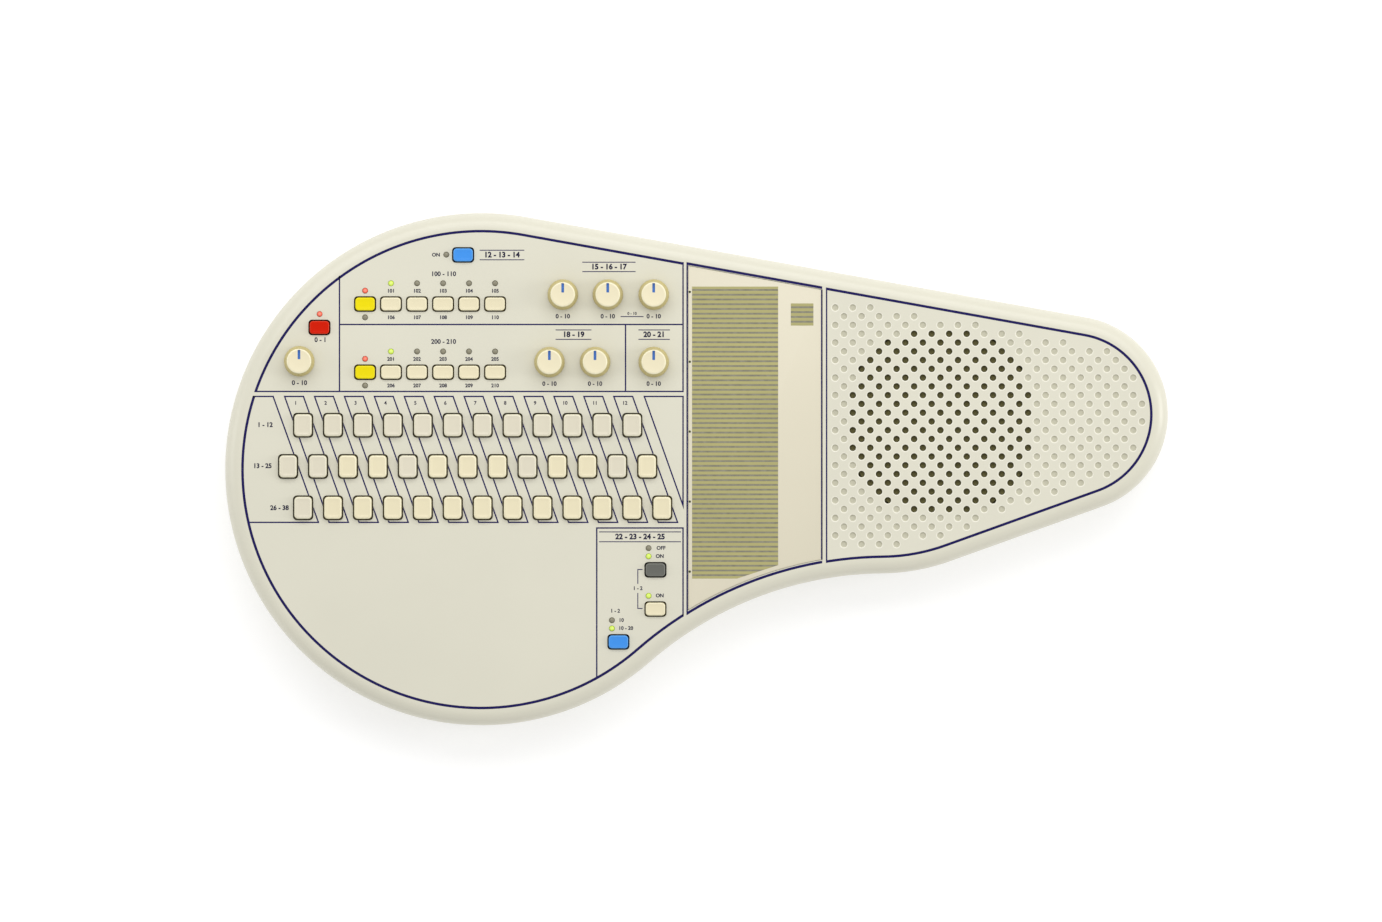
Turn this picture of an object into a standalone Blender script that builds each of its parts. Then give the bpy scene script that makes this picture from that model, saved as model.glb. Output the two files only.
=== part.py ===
"""Electronic autoharp: a flat, harp-shaped instrument that lies on its back.

A round body holds the push caps and knobs, and a neck runs to +X with the touch plate and the loudspeaker.
+X runs to the tip of the neck, +Y to the far edge and +Z up to the player. The case rests on z = 0.
Plan measurements are in millimetres from the middle of the whole instrument, scaled by MM where they are used.
"""

import math

import bmesh
import bpy
from mathutils import Vector

MM = 0.001

# Plan outline: four circles, each tangent to the next, and the two straight edges tangent to the nose
BODY_CENTRE = (-142.1, 0.0)
BODY_RADIUS = 169.2
WAIST_RADIUS = 237.9
WAIST_START = math.radians(-48.9)
WAIST_END = math.radians(90.63)
HIP_RADIUS = 136.9
NOSE_CENTRE = (246.6, 36.4)
NOSE_RADIUS = 64.8

# Heights
FOOT_HEIGHT = 3.5
SPLIT = 27.0
SEAM = 0.3
PANEL_TOP = 50.0
PANEL_THICKNESS = 2.8
WALL = 2.6
TOP_ROUND = 10.0
BOTTOM_ROUND = 8.0
FLOOR = FOOT_HEIGHT + 2.5
CEILING = PANEL_TOP - PANEL_THICKNESS
BOARD_LOW = 36.4
BOARD_TOP = 38.0
SWITCH_TOP = 40.6
FLANGE_TOP = CEILING - 0.3
FLANGE_LOW = FLANGE_TOP - 1.7

# Chord caps: the rows run from the -X side of the body to the touch plate, minor row first
CHORD_INSET = 41.8
CHORD_PLATE_GAP = 16.9
CHORD_STAGGER = 9.9
CHORD_Y = {"chord_major": 29.0, "chord_minor": 1.8, "chord_seventh": -25.5}
CHORD_WIDTH = 12.6
CHORD_DEPTH = 15.6
CHORD_TOP = 54.0
CHORD_TRAVEL = 2.0
CHORD_CAPS = {"chord_major": "gggggggggggg", "chord_minor": "ggccgcccgccgc", "chord_seventh": "gcccccccccccc"}
CAP_COLOUR = {"g": "grey", "c": "cream"}

# Selector and function buttons
BUTTON_WIDTH = 13.8
BUTTON_DEPTH = 9.5
BUTTON_TOP = 52.3
BUTTON_TRAVEL = 1.0
CAP_GAP = 0.4
SELECTOR_X = (-59.5, -42.3, -25.1, -8.0, 9.2)
BANK_X = -76.6
VOICE_INSET = 60.2
VOICE_Y = BODY_RADIUS - VOICE_INSET
PATTERN_Y = 64.0

# Groups along the edge of the body: the direction and the way in from the edge of each group's button
KEYBOARD_DIRECTION = math.radians(94.81)
KEYBOARD_INSET = 27.3
POWER_DIRECTION = math.radians(138.77)
POWER_INSET = 27.3
START_DIRECTION = math.radians(-51.52)
START_INSET = 23.6
HOLD_DIRECTION = math.radians(-38.75)
HOLD_INSET = 21.7
AUTO_RISE = 25.9

BUTTON_COLOUR = {
    "voice_bank_button": "yellow", "pattern_bank_button": "yellow", "keyboard_button": "blue",
    "power_button": "red", "auto_button": "dark", "hold_button": "cream", "start_button": "blue",
}

# Knobs
KNOB_RADIUS = 9.9
KNOB_TOP_RADIUS = 8.5
KNOB_TOP = 61.0
KNOB_LIFT = 0.5
SHAFT_RADIUS = 3.0
SHAFT_END = 42.6
POINTER_WIDTH = 1.8
POINTER_LENGTH = 6.2
POINTER_START = 1.3
POT_RADIUS = 7.5
MASTER_OFFSET = (-13.3, -22.3)
FAR_KNOB_Y = VOICE_Y + 6.2
KNOBS = {
    "knob_sustain": (53.9, FAR_KNOB_Y),
    "knob_main_volume": (83.6, FAR_KNOB_Y),
    "knob_sub_volume": (113.9, FAR_KNOB_Y),
    "knob_tempo": (45.1, 70.7),
    "knob_rhythm_volume": (75.2, 70.7),
    "knob_chord_volume": (113.9, 70.7),
}

# Indicator lamps, each row set off from the buttons that it belongs to
LAMP_RADIUS = 1.5
LAMP_TOP = 50.3
LAMP_RISE = 13.7
BANK_LAMP_RISE = 8.8
KEYBOARD_LAMP = (-11.1, 0.2)
POWER_LAMP = (0.1, 8.9)
START_LAMPS = ((-4.3, 14.3), (-4.3, 8.9))
HOLD_LAMP = (-4.5, 8.7)
AUTO_LAMPS = ((-4.5, 14.3), (-4.5, 8.9))

# Loudspeaker and grille
SPEAKER_CENTRE = (161.0, 31.5)
GRILLE_REACH = 63.1
GRILLE_HOLE_RADIUS = 1.85
GRILLE_PITCH = 11.57
SPEAKER_RADIUS = GRILLE_REACH + 0.8
SPEAKER_DEPTH = 33.9
MAGNET_RADIUS = 34.0
MAGNET_HEIGHT = 14.0
DUST_CAP_RADIUS = 14.0
DUST_CAP_HEIGHT = 23.0
DUST_CAP_RISE = 4.5

# Touch plate
PLATE_LEFT = -5.7
PLATE_RIGHT = 83.0
PLATE_INSET = 13.0
PLATE_LOW = 48.6
PLATE_TOP = 49.5
POCKET_FLOOR = 48.4

# Battery bay and its sliding door, at the near side of the body
BAY_X = BODY_CENTRE[0]
BAY_HALF = 53.0
BAY_LIP = 57.2
BAY_LENGTH = 93.2
BODY_NEAR = BODY_CENTRE[1] - BODY_RADIUS
BAY_FAR = BODY_NEAR + BAY_LENGTH
BAY_ROOF = 33.0
BAY_WALL = 2.0
DOOR_GAP = 0.3
DOOR_EDGE_TOP = 14.0
DOOR_LIP_Y = BODY_CENTRE[1] - math.sqrt(BODY_RADIUS ** 2 - BAY_LIP ** 2) + BOTTOM_ROUND + 0.2
TONGUE_LOW = FLOOR + 0.3
TONGUE_TOP = TONGUE_LOW + 1.3
TONGUE_REACH = 3.2
CUT_OVER = 10.0

# Screw bosses a fixed way in from the edge, board posts and feet
BOSS_RADIUS = 4.3
BOSS_INSET = 10.7
BODY_BOSS_ANGLES = (78.0, 125.0, 180.0, 235.0, 298.0)
HIP_BOSS_ANGLE = -77.8
NOSE_BOSS_ANGLE = 46.7
FAR_EDGE_BOSS = 0.59
BOARD_INSET = 17.0
BOARD_END = PLATE_RIGHT + 1.0
POST_RADIUS = 3.5
BOARD_POSTS = ((-95.9, 15.0), (0.0, 92.0), (0.0, 15.0), (90.1, 15.0), (97.1, 92.0), (187.1, 55.0), (187.1, -25.0))
BODY_FEET = ((-72.9, 105.0), (-72.9, -105.0))
NOSE_FEET = ((15.4, 23.6), (15.4, -26.4))
FOOT_RADIUS = 9.0

COLOURS = {
    "case": ((0.76, 0.74, 0.62), 0.45),
    "back": ((0.62, 0.60, 0.50), 0.55),
    "plate": ((0.76, 0.73, 0.58), 0.35),
    "cream": ((0.84, 0.76, 0.54), 0.35),
    "grey": ((0.74, 0.69, 0.58), 0.35),
    "yellow": ((0.90, 0.72, 0.01), 0.35),
    "red": ((0.66, 0.02, 0.01), 0.35),
    "blue": ((0.07, 0.32, 0.82), 0.35),
    "dark": ((0.16, 0.16, 0.14), 0.40),
    "knob": ((0.85, 0.80, 0.60), 0.40),
    "cone": ((0.03, 0.03, 0.03), 0.80),
    "board": ((0.30, 0.20, 0.07), 0.60),
}


def clear_scene():
    """Remove every object that the scene starts with."""
    for obj in list(bpy.data.objects):
        bpy.data.objects.remove(obj, do_unlink=True)


def make_collection(name):
    """Return a new collection linked to the scene."""
    collection = bpy.data.collections.new(name)
    bpy.context.scene.collection.children.link(collection)
    return collection


def finish(key):
    """Return the material for a colour key, made on first use."""
    material = bpy.data.materials.get(key)
    if material is None:
        colour, roughness = COLOURS[key]
        material = bpy.data.materials.new(key)
        material.use_nodes = True
        shader = material.node_tree.nodes["Principled BSDF"]
        shader.inputs["Base Color"].default_value = (*colour, 1.0)
        shader.inputs["Roughness"].default_value = roughness
        shader.inputs["Metallic"].default_value = 0.0
    return material


def polar(centre, radius, angle):
    """Return the point at an angle (radians) on a circle."""
    return (centre[0] + radius * math.cos(angle), centre[1] + radius * math.sin(angle))


WAIST_CENTRE = polar(BODY_CENTRE, BODY_RADIUS + WAIST_RADIUS, WAIST_START)
HIP_CENTRE = polar(WAIST_CENTRE, WAIST_RADIUS + HIP_RADIUS, WAIST_END)


def edge_normal(first, first_radius, last, last_radius, side):
    """Return the angle of the outward normal of the straight edge that touches two circles on one side."""
    gap = (last[0] - first[0], last[1] - first[1])
    lean = math.asin((first_radius - last_radius) / math.hypot(*gap))
    return math.atan2(gap[1], gap[0]) + side * (math.pi / 2 - lean)


FAR_NORMAL = edge_normal(BODY_CENTRE, BODY_RADIUS, NOSE_CENTRE, NOSE_RADIUS, +1)
NEAR_NORMAL = edge_normal(HIP_CENTRE, HIP_RADIUS, NOSE_CENTRE, NOSE_RADIUS, -1)


def on_body(point):
    """Return a place given from the middle of the body."""
    return (BODY_CENTRE[0] + point[0], BODY_CENTRE[1] + point[1])


def beside(anchor, offset):
    """Return a place given from another one."""
    return (anchor[0] + offset[0], anchor[1] + offset[1])


KEYBOARD = polar(BODY_CENTRE, BODY_RADIUS - KEYBOARD_INSET, KEYBOARD_DIRECTION)
POWER = polar(BODY_CENTRE, BODY_RADIUS - POWER_INSET, POWER_DIRECTION)
START = polar(BODY_CENTRE, BODY_RADIUS - START_INSET, START_DIRECTION)
HOLD = polar(BODY_CENTRE, BODY_RADIUS - HOLD_INSET, HOLD_DIRECTION)
AUTO = beside(HOLD, (0.0, AUTO_RISE))


def single_buttons():
    """Return the name and place of every button that stands alone."""
    return {
        "voice_bank_button": on_body((BANK_X, VOICE_Y)), "pattern_bank_button": on_body((BANK_X, PATTERN_Y)),
        "keyboard_button": KEYBOARD, "power_button": POWER, "auto_button": AUTO, "hold_button": HOLD,
        "start_button": START,
    }


def knob_places():
    """Return the name and place of every knob."""
    places = {"knob_master_volume": beside(POWER, MASTER_OFFSET)}
    places.update({name: on_body(point) for name, point in KNOBS.items()})
    return places


def lamp_places():
    """Return the places of the indicator lamps, each set off from the button that it belongs to."""
    lamps = [on_body((x, y + LAMP_RISE)) for x in SELECTOR_X for y in (VOICE_Y, PATTERN_Y)]
    lamps += [on_body((BANK_X, y + side * BANK_LAMP_RISE)) for y in (VOICE_Y, PATTERN_Y) for side in (1, -1)]
    lamps += [beside(KEYBOARD, KEYBOARD_LAMP), beside(POWER, POWER_LAMP), beside(HOLD, HOLD_LAMP)]
    lamps += [beside(AUTO, offset) for offset in AUTO_LAMPS] + [beside(START, offset) for offset in START_LAMPS]
    return lamps


def arc(centre, radius, start, end, steps):
    """Return points on an arc from start to end (radians), the end left out."""
    return [polar(centre, radius, start + (end - start) * i / steps) for i in range(steps)]


def outline(inset):
    """Return the plan outline moved inward by inset, counterclockwise from the far side of the body."""
    points = arc(BODY_CENTRE, BODY_RADIUS - inset, FAR_NORMAL, WAIST_START + 2 * math.pi, 40)
    points += arc(WAIST_CENTRE, WAIST_RADIUS + inset, WAIST_START + math.pi, WAIST_END, 9)
    points += arc(HIP_CENTRE, HIP_RADIUS - inset, WAIST_END - math.pi, NEAR_NORMAL, 4)
    points.append(polar(HIP_CENTRE, HIP_RADIUS - inset, NEAR_NORMAL))
    points += arc(NOSE_CENTRE, NOSE_RADIUS - inset, NEAR_NORMAL, FAR_NORMAL, 16)
    points.append(polar(NOSE_CENTRE, NOSE_RADIUS - inset, FAR_NORMAL))
    return points


def clip(points, axis, limit, keep):
    """Cut a closed loop at a coordinate; keep is +1 for the greater side, -1 for the smaller."""
    result = []
    for a, b in zip(points, points[1:] + points[:1]):
        inside_a = (a[axis] - limit) * keep >= 0
        inside_b = (b[axis] - limit) * keep >= 0
        if inside_a:
            result.append(a)
        if inside_a != inside_b:
            t = (limit - a[axis]) / (b[axis] - a[axis])
            result.append((a[0] + (b[0] - a[0]) * t, a[1] + (b[1] - a[1]) * t))
    return result


def ring(centre, radius, sides, turn=0.0):
    """Return a regular loop round a centre."""
    return [polar(centre, radius, turn + 2 * math.pi * i / sides) for i in range(sides)]


def rectangle(x, y, width, depth):
    """Return a rectangle's four corners, counterclockwise."""
    w, d = width / 2, depth / 2
    return [(x - w, y - d), (x + w, y - d), (x + w, y + d), (x - w, y + d)]


def add_object(name, mesh, collection, key=None):
    """Link a mesh as a named object with its material."""
    obj = bpy.data.objects.new(name, mesh)
    collection.objects.link(obj)
    if key:
        mesh.materials.clear()
        mesh.materials.append(finish(key))
    return obj


def slab(name, loops, low, high, collection, key=None, top_round=0.0, bottom_round=0.0, segments=4):
    """Raise flat loops into a solid between two heights, with optional rounded rims on the outer loop."""
    curve = bpy.data.curves.new(name, "CURVE")
    curve.dimensions = "2D"
    curve.fill_mode = "BOTH"
    curve.extrude = (high - low) / 2 * MM
    for loop in loops:
        spline = curve.splines.new("POLY")
        spline.points.add(len(loop) - 1)
        for point, (x, y) in zip(spline.points, loop):
            point.co = (x * MM, y * MM, 0.0, 1.0)
        spline.use_cyclic_u = True
    flat = bpy.data.objects.new(name + "_outline", curve)
    flat.location.z = (high + low) / 2 * MM
    collection.objects.link(flat)
    graph = bpy.context.evaluated_depsgraph_get()
    mesh = bpy.data.meshes.new_from_object(flat.evaluated_get(graph))
    mesh.name = name
    place = flat.matrix_world.copy()
    bpy.data.objects.remove(flat, do_unlink=True)
    bm = bmesh.new()
    bm.from_mesh(mesh)
    bmesh.ops.remove_doubles(bm, verts=bm.verts, dist=0.00001)
    if top_round or bottom_round:
        bmesh.ops.dissolve_limit(bm, angle_limit=0.001, verts=bm.verts, edges=bm.edges)
        half = (high - low) / 2 * MM
        for amount, level in ((top_round, half), (bottom_round, -half)):
            if amount:
                rim = [e for e in bm.edges if all(abs(v.co.z - level) < 1e-6 for v in e.verts)]
                bmesh.ops.bevel(bm, geom=rim, offset=amount * MM, segments=segments, profile=0.5,
                                affect="EDGES", clamp_overlap=False)
    bmesh.ops.recalc_face_normals(bm, faces=bm.faces)
    bm.to_mesh(mesh)
    bm.free()
    obj = add_object(name, mesh, collection, key)
    obj.matrix_world = place
    return obj


def block(name, x, y, width, depth, low, high, collection, key=None, corner=0.0, edge=0.0):
    """Make a box from a cube, with rounded upright corners and a bevelled top edge."""
    mesh = bpy.data.meshes.new(name)
    bm = bmesh.new()
    bmesh.ops.create_cube(bm, size=1.0)
    bmesh.ops.scale(bm, verts=bm.verts, vec=Vector((width, depth, high - low)) * MM)
    if corner:
        upright = [e for e in bm.edges if abs(e.verts[0].co.z - e.verts[1].co.z) > 1e-6]
        bmesh.ops.bevel(bm, geom=upright, offset=corner * MM, segments=1, profile=0.5, affect="EDGES")
    if edge:
        level = (high - low) / 2 * MM
        rim = [e for e in bm.edges if all(abs(v.co.z - level) < 1e-6 for v in e.verts)]
        bmesh.ops.bevel(bm, geom=rim, offset=edge * MM, segments=1, profile=0.5, affect="EDGES")
    bmesh.ops.translate(bm, verts=bm.verts, vec=Vector((0.0, 0.0, (high + low) / 2 * MM)))
    bm.to_mesh(mesh)
    bm.free()
    obj = add_object(name, mesh, collection, key)
    obj.location = (x * MM, y * MM, 0.0)
    return obj


def turned(name, profile, steps, collection, key=None):
    """Turn a profile of (radius, height) pairs, outer side top to bottom, with a Screw modifier."""
    mesh = bpy.data.meshes.new(name)
    bm = bmesh.new()
    verts = [bm.verts.new((r * MM, 0.0, z * MM)) for r, z in profile]
    for a, b in zip(verts, verts[1:]):
        bm.edges.new((a, b))
    if profile[0][0] > 0:
        bm.edges.new((verts[-1], verts[0]))
    bm.to_mesh(mesh)
    bm.free()
    obj = add_object(name, mesh, collection, key)
    screw = obj.modifiers.new("Turn", "SCREW")
    screw.axis = "Z"
    screw.steps = steps
    screw.render_steps = steps
    screw.use_merge_vertices = True
    screw.merge_threshold = 0.00001
    screw.use_smooth_shade = False
    return obj


def combine(body, tool, operation, cutters):
    """Add an exact Boolean and file the tool with the cutters."""
    modifier = body.modifiers.new(operation.title(), "BOOLEAN")
    modifier.operation = operation
    modifier.solver = "EXACT"
    modifier.object = tool
    for collection in list(tool.users_collection):
        collection.objects.unlink(tool)
    cutters.objects.link(tool)
    tool.hide_render = True
    tool.display_type = "WIRE"
    return modifier


def bake(obj):
    """Turn an object's evaluated shape into its own mesh, without its modifiers."""
    graph = bpy.context.evaluated_depsgraph_get()
    mesh = bpy.data.meshes.new_from_object(obj.evaluated_get(graph))
    mesh.name = obj.name
    obj.modifiers.clear()
    obj.data = mesh
    return mesh


def smooth(mesh, degrees=35.0):
    """Shade a mesh smooth, with its corners kept sharp."""
    mesh.shade_smooth()
    mesh.set_sharp_from_angle(angle=math.radians(degrees))


def cap_shape(name, width, depth, top, corner, edge, parts, cutters, offsets=(0.0,)):
    """Make one push cap, or a strip of them on a carrier: caps above, flange below, stems to the switches."""
    span = max(offsets) - min(offsets)
    middle = (max(offsets) + min(offsets)) / 2
    travel = CHORD_TRAVEL if top == CHORD_TOP else BUTTON_TRAVEL
    shape = block(name, middle, 0.0, width + 1.2 + span, depth + (2.4 if travel > 1.5 else 1.2),
                  FLANGE_LOW, FLANGE_TOP, parts)
    for offset in offsets:
        cap = block(name + "_cap", offset, 0.0, width, depth, FLANGE_TOP - 0.6, top, cutters, None, corner, edge)
        stem = block(name + "_stem", offset, 0.0, 4.0, 4.0, SWITCH_TOP + travel + 0.3, FLANGE_LOW + 0.5, cutters)
        combine(shape, cap, "UNION", cutters)
        combine(shape, stem, "UNION", cutters)
    bpy.context.view_layer.update()
    mesh = bake(shape)
    mesh.transform(shape.matrix_world)
    bpy.data.objects.remove(shape, do_unlink=True)
    return mesh


def chord_places(row):
    """Return the places of a row's chord caps, left to right."""
    count = len(CHORD_CAPS["chord_minor"]) - 1
    last = PLATE_LEFT - CHORD_PLATE_GAP - CHORD_STAGGER - BODY_CENTRE[0]
    first = CHORD_INSET - BODY_RADIUS
    pitch = (last - first) / count
    stagger = 0.0 if row == "chord_minor" else CHORD_STAGGER
    return [on_body((first + stagger + i * pitch, CHORD_Y[row])) for i, _ in enumerate(CHORD_CAPS[row])]


def button_places():
    """Return the places of every small button."""
    return list(single_buttons().values()) + [on_body((x, y)) for x in SELECTOR_X for y in (VOICE_Y, PATTERN_Y)]


def place(obj, carrier, x, y):
    """Hang a moving piece on the case with its origin on its own axis."""
    obj.parent = carrier
    obj.location = (x * MM, y * MM, 0.0)


def make_caps(parts, cutters, carrier):
    """Make the chord caps, the function buttons and the two selector strips."""
    chord = cap_shape("chord_shape", CHORD_WIDTH, CHORD_DEPTH, CHORD_TOP, 1.9, 1.2, parts, cutters)
    for row in CHORD_Y:
        for i, (x, y) in enumerate(chord_places(row), 1):
            key = CAP_COLOUR[CHORD_CAPS[row][i - 1]]
            place(add_object(f"{row}_{i:02d}", chord.copy(), parts, key), carrier, x, y)
    button = cap_shape("button_shape", BUTTON_WIDTH, BUTTON_DEPTH, BUTTON_TOP, 1.2, 0.8, parts, cutters)
    for name, point in single_buttons().items():
        place(add_object(name, button.copy(), parts, BUTTON_COLOUR[name]), carrier, *point)
    middle = sum(SELECTOR_X) / len(SELECTOR_X)
    offsets = tuple(x - middle for x in SELECTOR_X)
    strip = cap_shape("strip_shape", BUTTON_WIDTH, BUTTON_DEPTH, BUTTON_TOP, 1.2, 0.8, parts, cutters, offsets)
    for name, y in (("voice_selector", VOICE_Y), ("pattern_selector", PATTERN_Y)):
        place(add_object(name, strip.copy(), parts, "cream"), carrier, *on_body((middle, y)))


def make_knobs(parts, cutters, carrier):
    """Make the seven knobs, each with its shaft and an indicator groove."""
    skirt = PANEL_TOP + KNOB_LIFT
    profile = [
        (0.0, KNOB_TOP), (KNOB_TOP_RADIUS - 0.6, KNOB_TOP), (KNOB_TOP_RADIUS, KNOB_TOP - 0.7),
        (KNOB_RADIUS - 0.5, skirt + 2.2), (KNOB_RADIUS, skirt + 1.6), (KNOB_RADIUS, skirt),
        (SHAFT_RADIUS, skirt), (SHAFT_RADIUS, SHAFT_END), (0.0, SHAFT_END),
    ]
    shape = turned("knob_shape", profile, 16, parts)
    groove = block("knob_groove", 0.0, POINTER_START + POINTER_LENGTH / 2, POINTER_WIDTH, POINTER_LENGTH,
                   KNOB_TOP - 0.5, KNOB_TOP + 1.0, cutters)
    combine(shape, groove, "DIFFERENCE", cutters)
    bpy.context.view_layer.update()
    mesh = bake(shape)
    smooth(mesh)
    bpy.data.objects.remove(shape, do_unlink=True)
    for name, point in knob_places().items():
        place(add_object(name, mesh.copy(), parts, "knob"), carrier, *point)


def grille_holes():
    """Return the grille's through holes on the staggered grid within the loudspeaker's reach."""
    holes = []
    rows = int(2 * GRILLE_REACH / GRILLE_PITCH) + 1
    for row in range(-rows, rows + 1):
        y = SPEAKER_CENTRE[1] + row * GRILLE_PITCH / 2
        for column in range(-rows, rows + 1):
            x = SPEAKER_CENTRE[0] + (column + (0.0 if row % 2 else 0.5)) * GRILLE_PITCH
            if math.hypot(x - SPEAKER_CENTRE[0], y - SPEAKER_CENTRE[1]) <= GRILLE_REACH:
                holes.append((x, y))
    return holes


def panel_openings():
    """Return the loops of every opening in the panel."""
    loops = [ring(hole, GRILLE_HOLE_RADIUS, 6) for hole in grille_holes()]
    loops += [rectangle(x, y, CHORD_WIDTH + 2 * CAP_GAP, CHORD_DEPTH + 2 * CAP_GAP)
              for row in CHORD_Y for x, y in chord_places(row)]
    loops += [rectangle(x, y, BUTTON_WIDTH + 2 * CAP_GAP, BUTTON_DEPTH + 2 * CAP_GAP) for x, y in button_places()]
    loops += [ring(p, SHAFT_RADIUS + 1.0, 8) for p in knob_places().values()]
    loops += [ring(p, LAMP_RADIUS + 0.45, 6) for p in lamp_places()]
    return loops


def boss_points():
    """Return the centres of the screw bosses that join the two halves of the case."""
    points = [polar(BODY_CENTRE, BODY_RADIUS - BOSS_INSET, math.radians(a)) for a in BODY_BOSS_ANGLES]
    points.append(polar(HIP_CENTRE, HIP_RADIUS - BOSS_INSET, math.radians(HIP_BOSS_ANGLE)))
    points.append(polar(NOSE_CENTRE, NOSE_RADIUS - BOSS_INSET, math.radians(NOSE_BOSS_ANGLE)))
    start = polar(BODY_CENTRE, BODY_RADIUS - BOSS_INSET, FAR_NORMAL)
    end = polar(NOSE_CENTRE, NOSE_RADIUS - BOSS_INSET, FAR_NORMAL)
    points.append(tuple(a + (b - a) * FAR_EDGE_BOSS for a, b in zip(start, end)))
    return points


def foot_points():
    """Return the centres of the feet under the body and the nose."""
    return [on_body(p) for p in BODY_FEET] + [(NOSE_CENTRE[0] + x, NOSE_CENTRE[1] + y) for x, y in NOSE_FEET]


def plate_loop(inset, margin):
    """Return the touch plate's outline: straight ends, and sides that follow the case."""
    loop = clip(outline(inset), 0, PLATE_LEFT - margin, +1)
    return clip(loop, 0, PLATE_RIGHT + margin, -1)


def make_front(parts, cutters):
    """Make the upper half of the case with its panel openings and screw bosses."""
    case = slab("front_case", [outline(0.0)], SPLIT + SEAM, PANEL_TOP, parts, "case", top_round=TOP_ROUND)
    inside = slab("front_inside", [outline(WALL)], SPLIT - 2.0, CEILING, cutters,
                  top_round=TOP_ROUND - WALL, segments=2)
    combine(case, inside, "DIFFERENCE", cutters)
    bosses = slab("front_bosses", [ring(p, BOSS_RADIUS, 8) for p in boss_points()],
                  SPLIT + SEAM, CEILING + 0.8, cutters)
    combine(case, bosses, "UNION", cutters)
    pocket = slab("plate_pocket", [plate_loop(PLATE_INSET - 0.3, 0.3)], POCKET_FLOOR, PANEL_TOP + 2.0, cutters)
    combine(case, pocket, "DIFFERENCE", cutters)
    openings = slab("panel_openings", panel_openings(), CEILING - 1.5, PANEL_TOP + 2.0, cutters)
    combine(case, openings, "DIFFERENCE", cutters)
    return case


def make_plate(parts):
    """Make the touch plate that lies in its pocket beside the controls."""
    return slab("strum_plate", [plate_loop(PLATE_INSET, 0.0)], PLATE_LOW, PLATE_TOP, parts, "plate")


def door_slices(shrink, collection, prefix):
    """Return the two boxes that bound the battery door: the long plate and the wider edge piece."""
    near = BODY_NEAR - CUT_OVER
    boxes = []
    for name, half, far in (("_plate", BAY_HALF, BAY_FAR), ("_edge", BAY_LIP, DOOR_LIP_Y)):
        boxes.append(block(prefix + name, BAY_X, (far - shrink + near) / 2, 2 * (half - shrink),
                           far - shrink - near, -1.0, DOOR_EDGE_TOP - shrink, collection))
    return boxes


def rear_solid(name, collection, key=None):
    """Return the closed outer shape of the lower half."""
    return slab(name, [outline(0.0)], FOOT_HEIGHT, SPLIT, collection, key, bottom_round=BOTTOM_ROUND, segments=3)


def rear_hollow(name, collection):
    """Return the inner shape of the lower half."""
    return slab(name, [outline(WALL)], FLOOR, SPLIT + 2.0, collection,
                bottom_round=BOTTOM_ROUND - WALL, segments=2)


def make_rear(parts, cutters):
    """Make the lower half of the case with its feet, posts and battery bay."""
    case = rear_solid("rear_case", parts, "back")
    combine(case, rear_hollow("rear_inside", cutters), "DIFFERENCE", cutters)
    length = BAY_FAR + BAY_WALL - BODY_NEAR
    bay = block("bay_outer", BAY_X, BODY_NEAR + length / 2, 2 * (BAY_LIP + BAY_WALL), length, FLOOR - 1.0,
                BAY_ROOF + 1.6, cutters)
    hollow = block("bay_inner", BAY_X, (BAY_FAR + BODY_NEAR - CUT_OVER) / 2, 2 * BAY_HALF,
                   BAY_LENGTH + CUT_OVER, FLOOR - 2.0, BAY_ROOF, cutters)
    combine(bay, hollow, "DIFFERENCE", cutters)
    rim = slab("bay_rim", [outline(WALL - 0.8)], FLOOR - 2.0, SPLIT - 0.2, cutters,
               bottom_round=BOTTOM_ROUND - WALL, segments=2)
    upper_rim = slab("bay_upper_rim", [outline(WALL + 0.5)], SPLIT - 4.0, BAY_ROOF + 3.0, cutters)
    combine(rim, upper_rim, "UNION", cutters)
    combine(bay, rim, "INTERSECT", cutters)
    posts = slab("rear_bosses", [ring(p, BOSS_RADIUS, 8) for p in boss_points()], FLOOR - 1.0, SPLIT, cutters)
    rests = slab("board_posts", [ring(on_body(p), POST_RADIUS, 8) for p in BOARD_POSTS], FLOOR - 1.0,
                 BOARD_LOW - 0.3, cutters)
    feet = slab("feet", [ring(p, FOOT_RADIUS, 16) for p in foot_points()], 0.0, FOOT_HEIGHT + 0.6, cutters)
    for extra in (bay, posts, rests, feet):
        combine(case, extra, "UNION", cutters)
    near = BODY_NEAR - CUT_OVER
    grooves = block("tongue_grooves", BAY_X, (BAY_FAR + DOOR_GAP + near) / 2,
                    2 * (BAY_HALF + TONGUE_REACH + DOOR_GAP), BAY_FAR + DOOR_GAP - near,
                    TONGUE_LOW - DOOR_GAP, TONGUE_TOP + DOOR_GAP, cutters)
    combine(case, grooves, "DIFFERENCE", cutters)
    for box in door_slices(0.0, cutters, "door_opening"):
        combine(case, box, "DIFFERENCE", cutters)
    wells = slab("screw_wells", [ring(p, 3.2, 8) for p in boss_points()], 0.0, FOOT_HEIGHT + 2.0, cutters)
    combine(case, wells, "DIFFERENCE", cutters)
    return case


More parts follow.
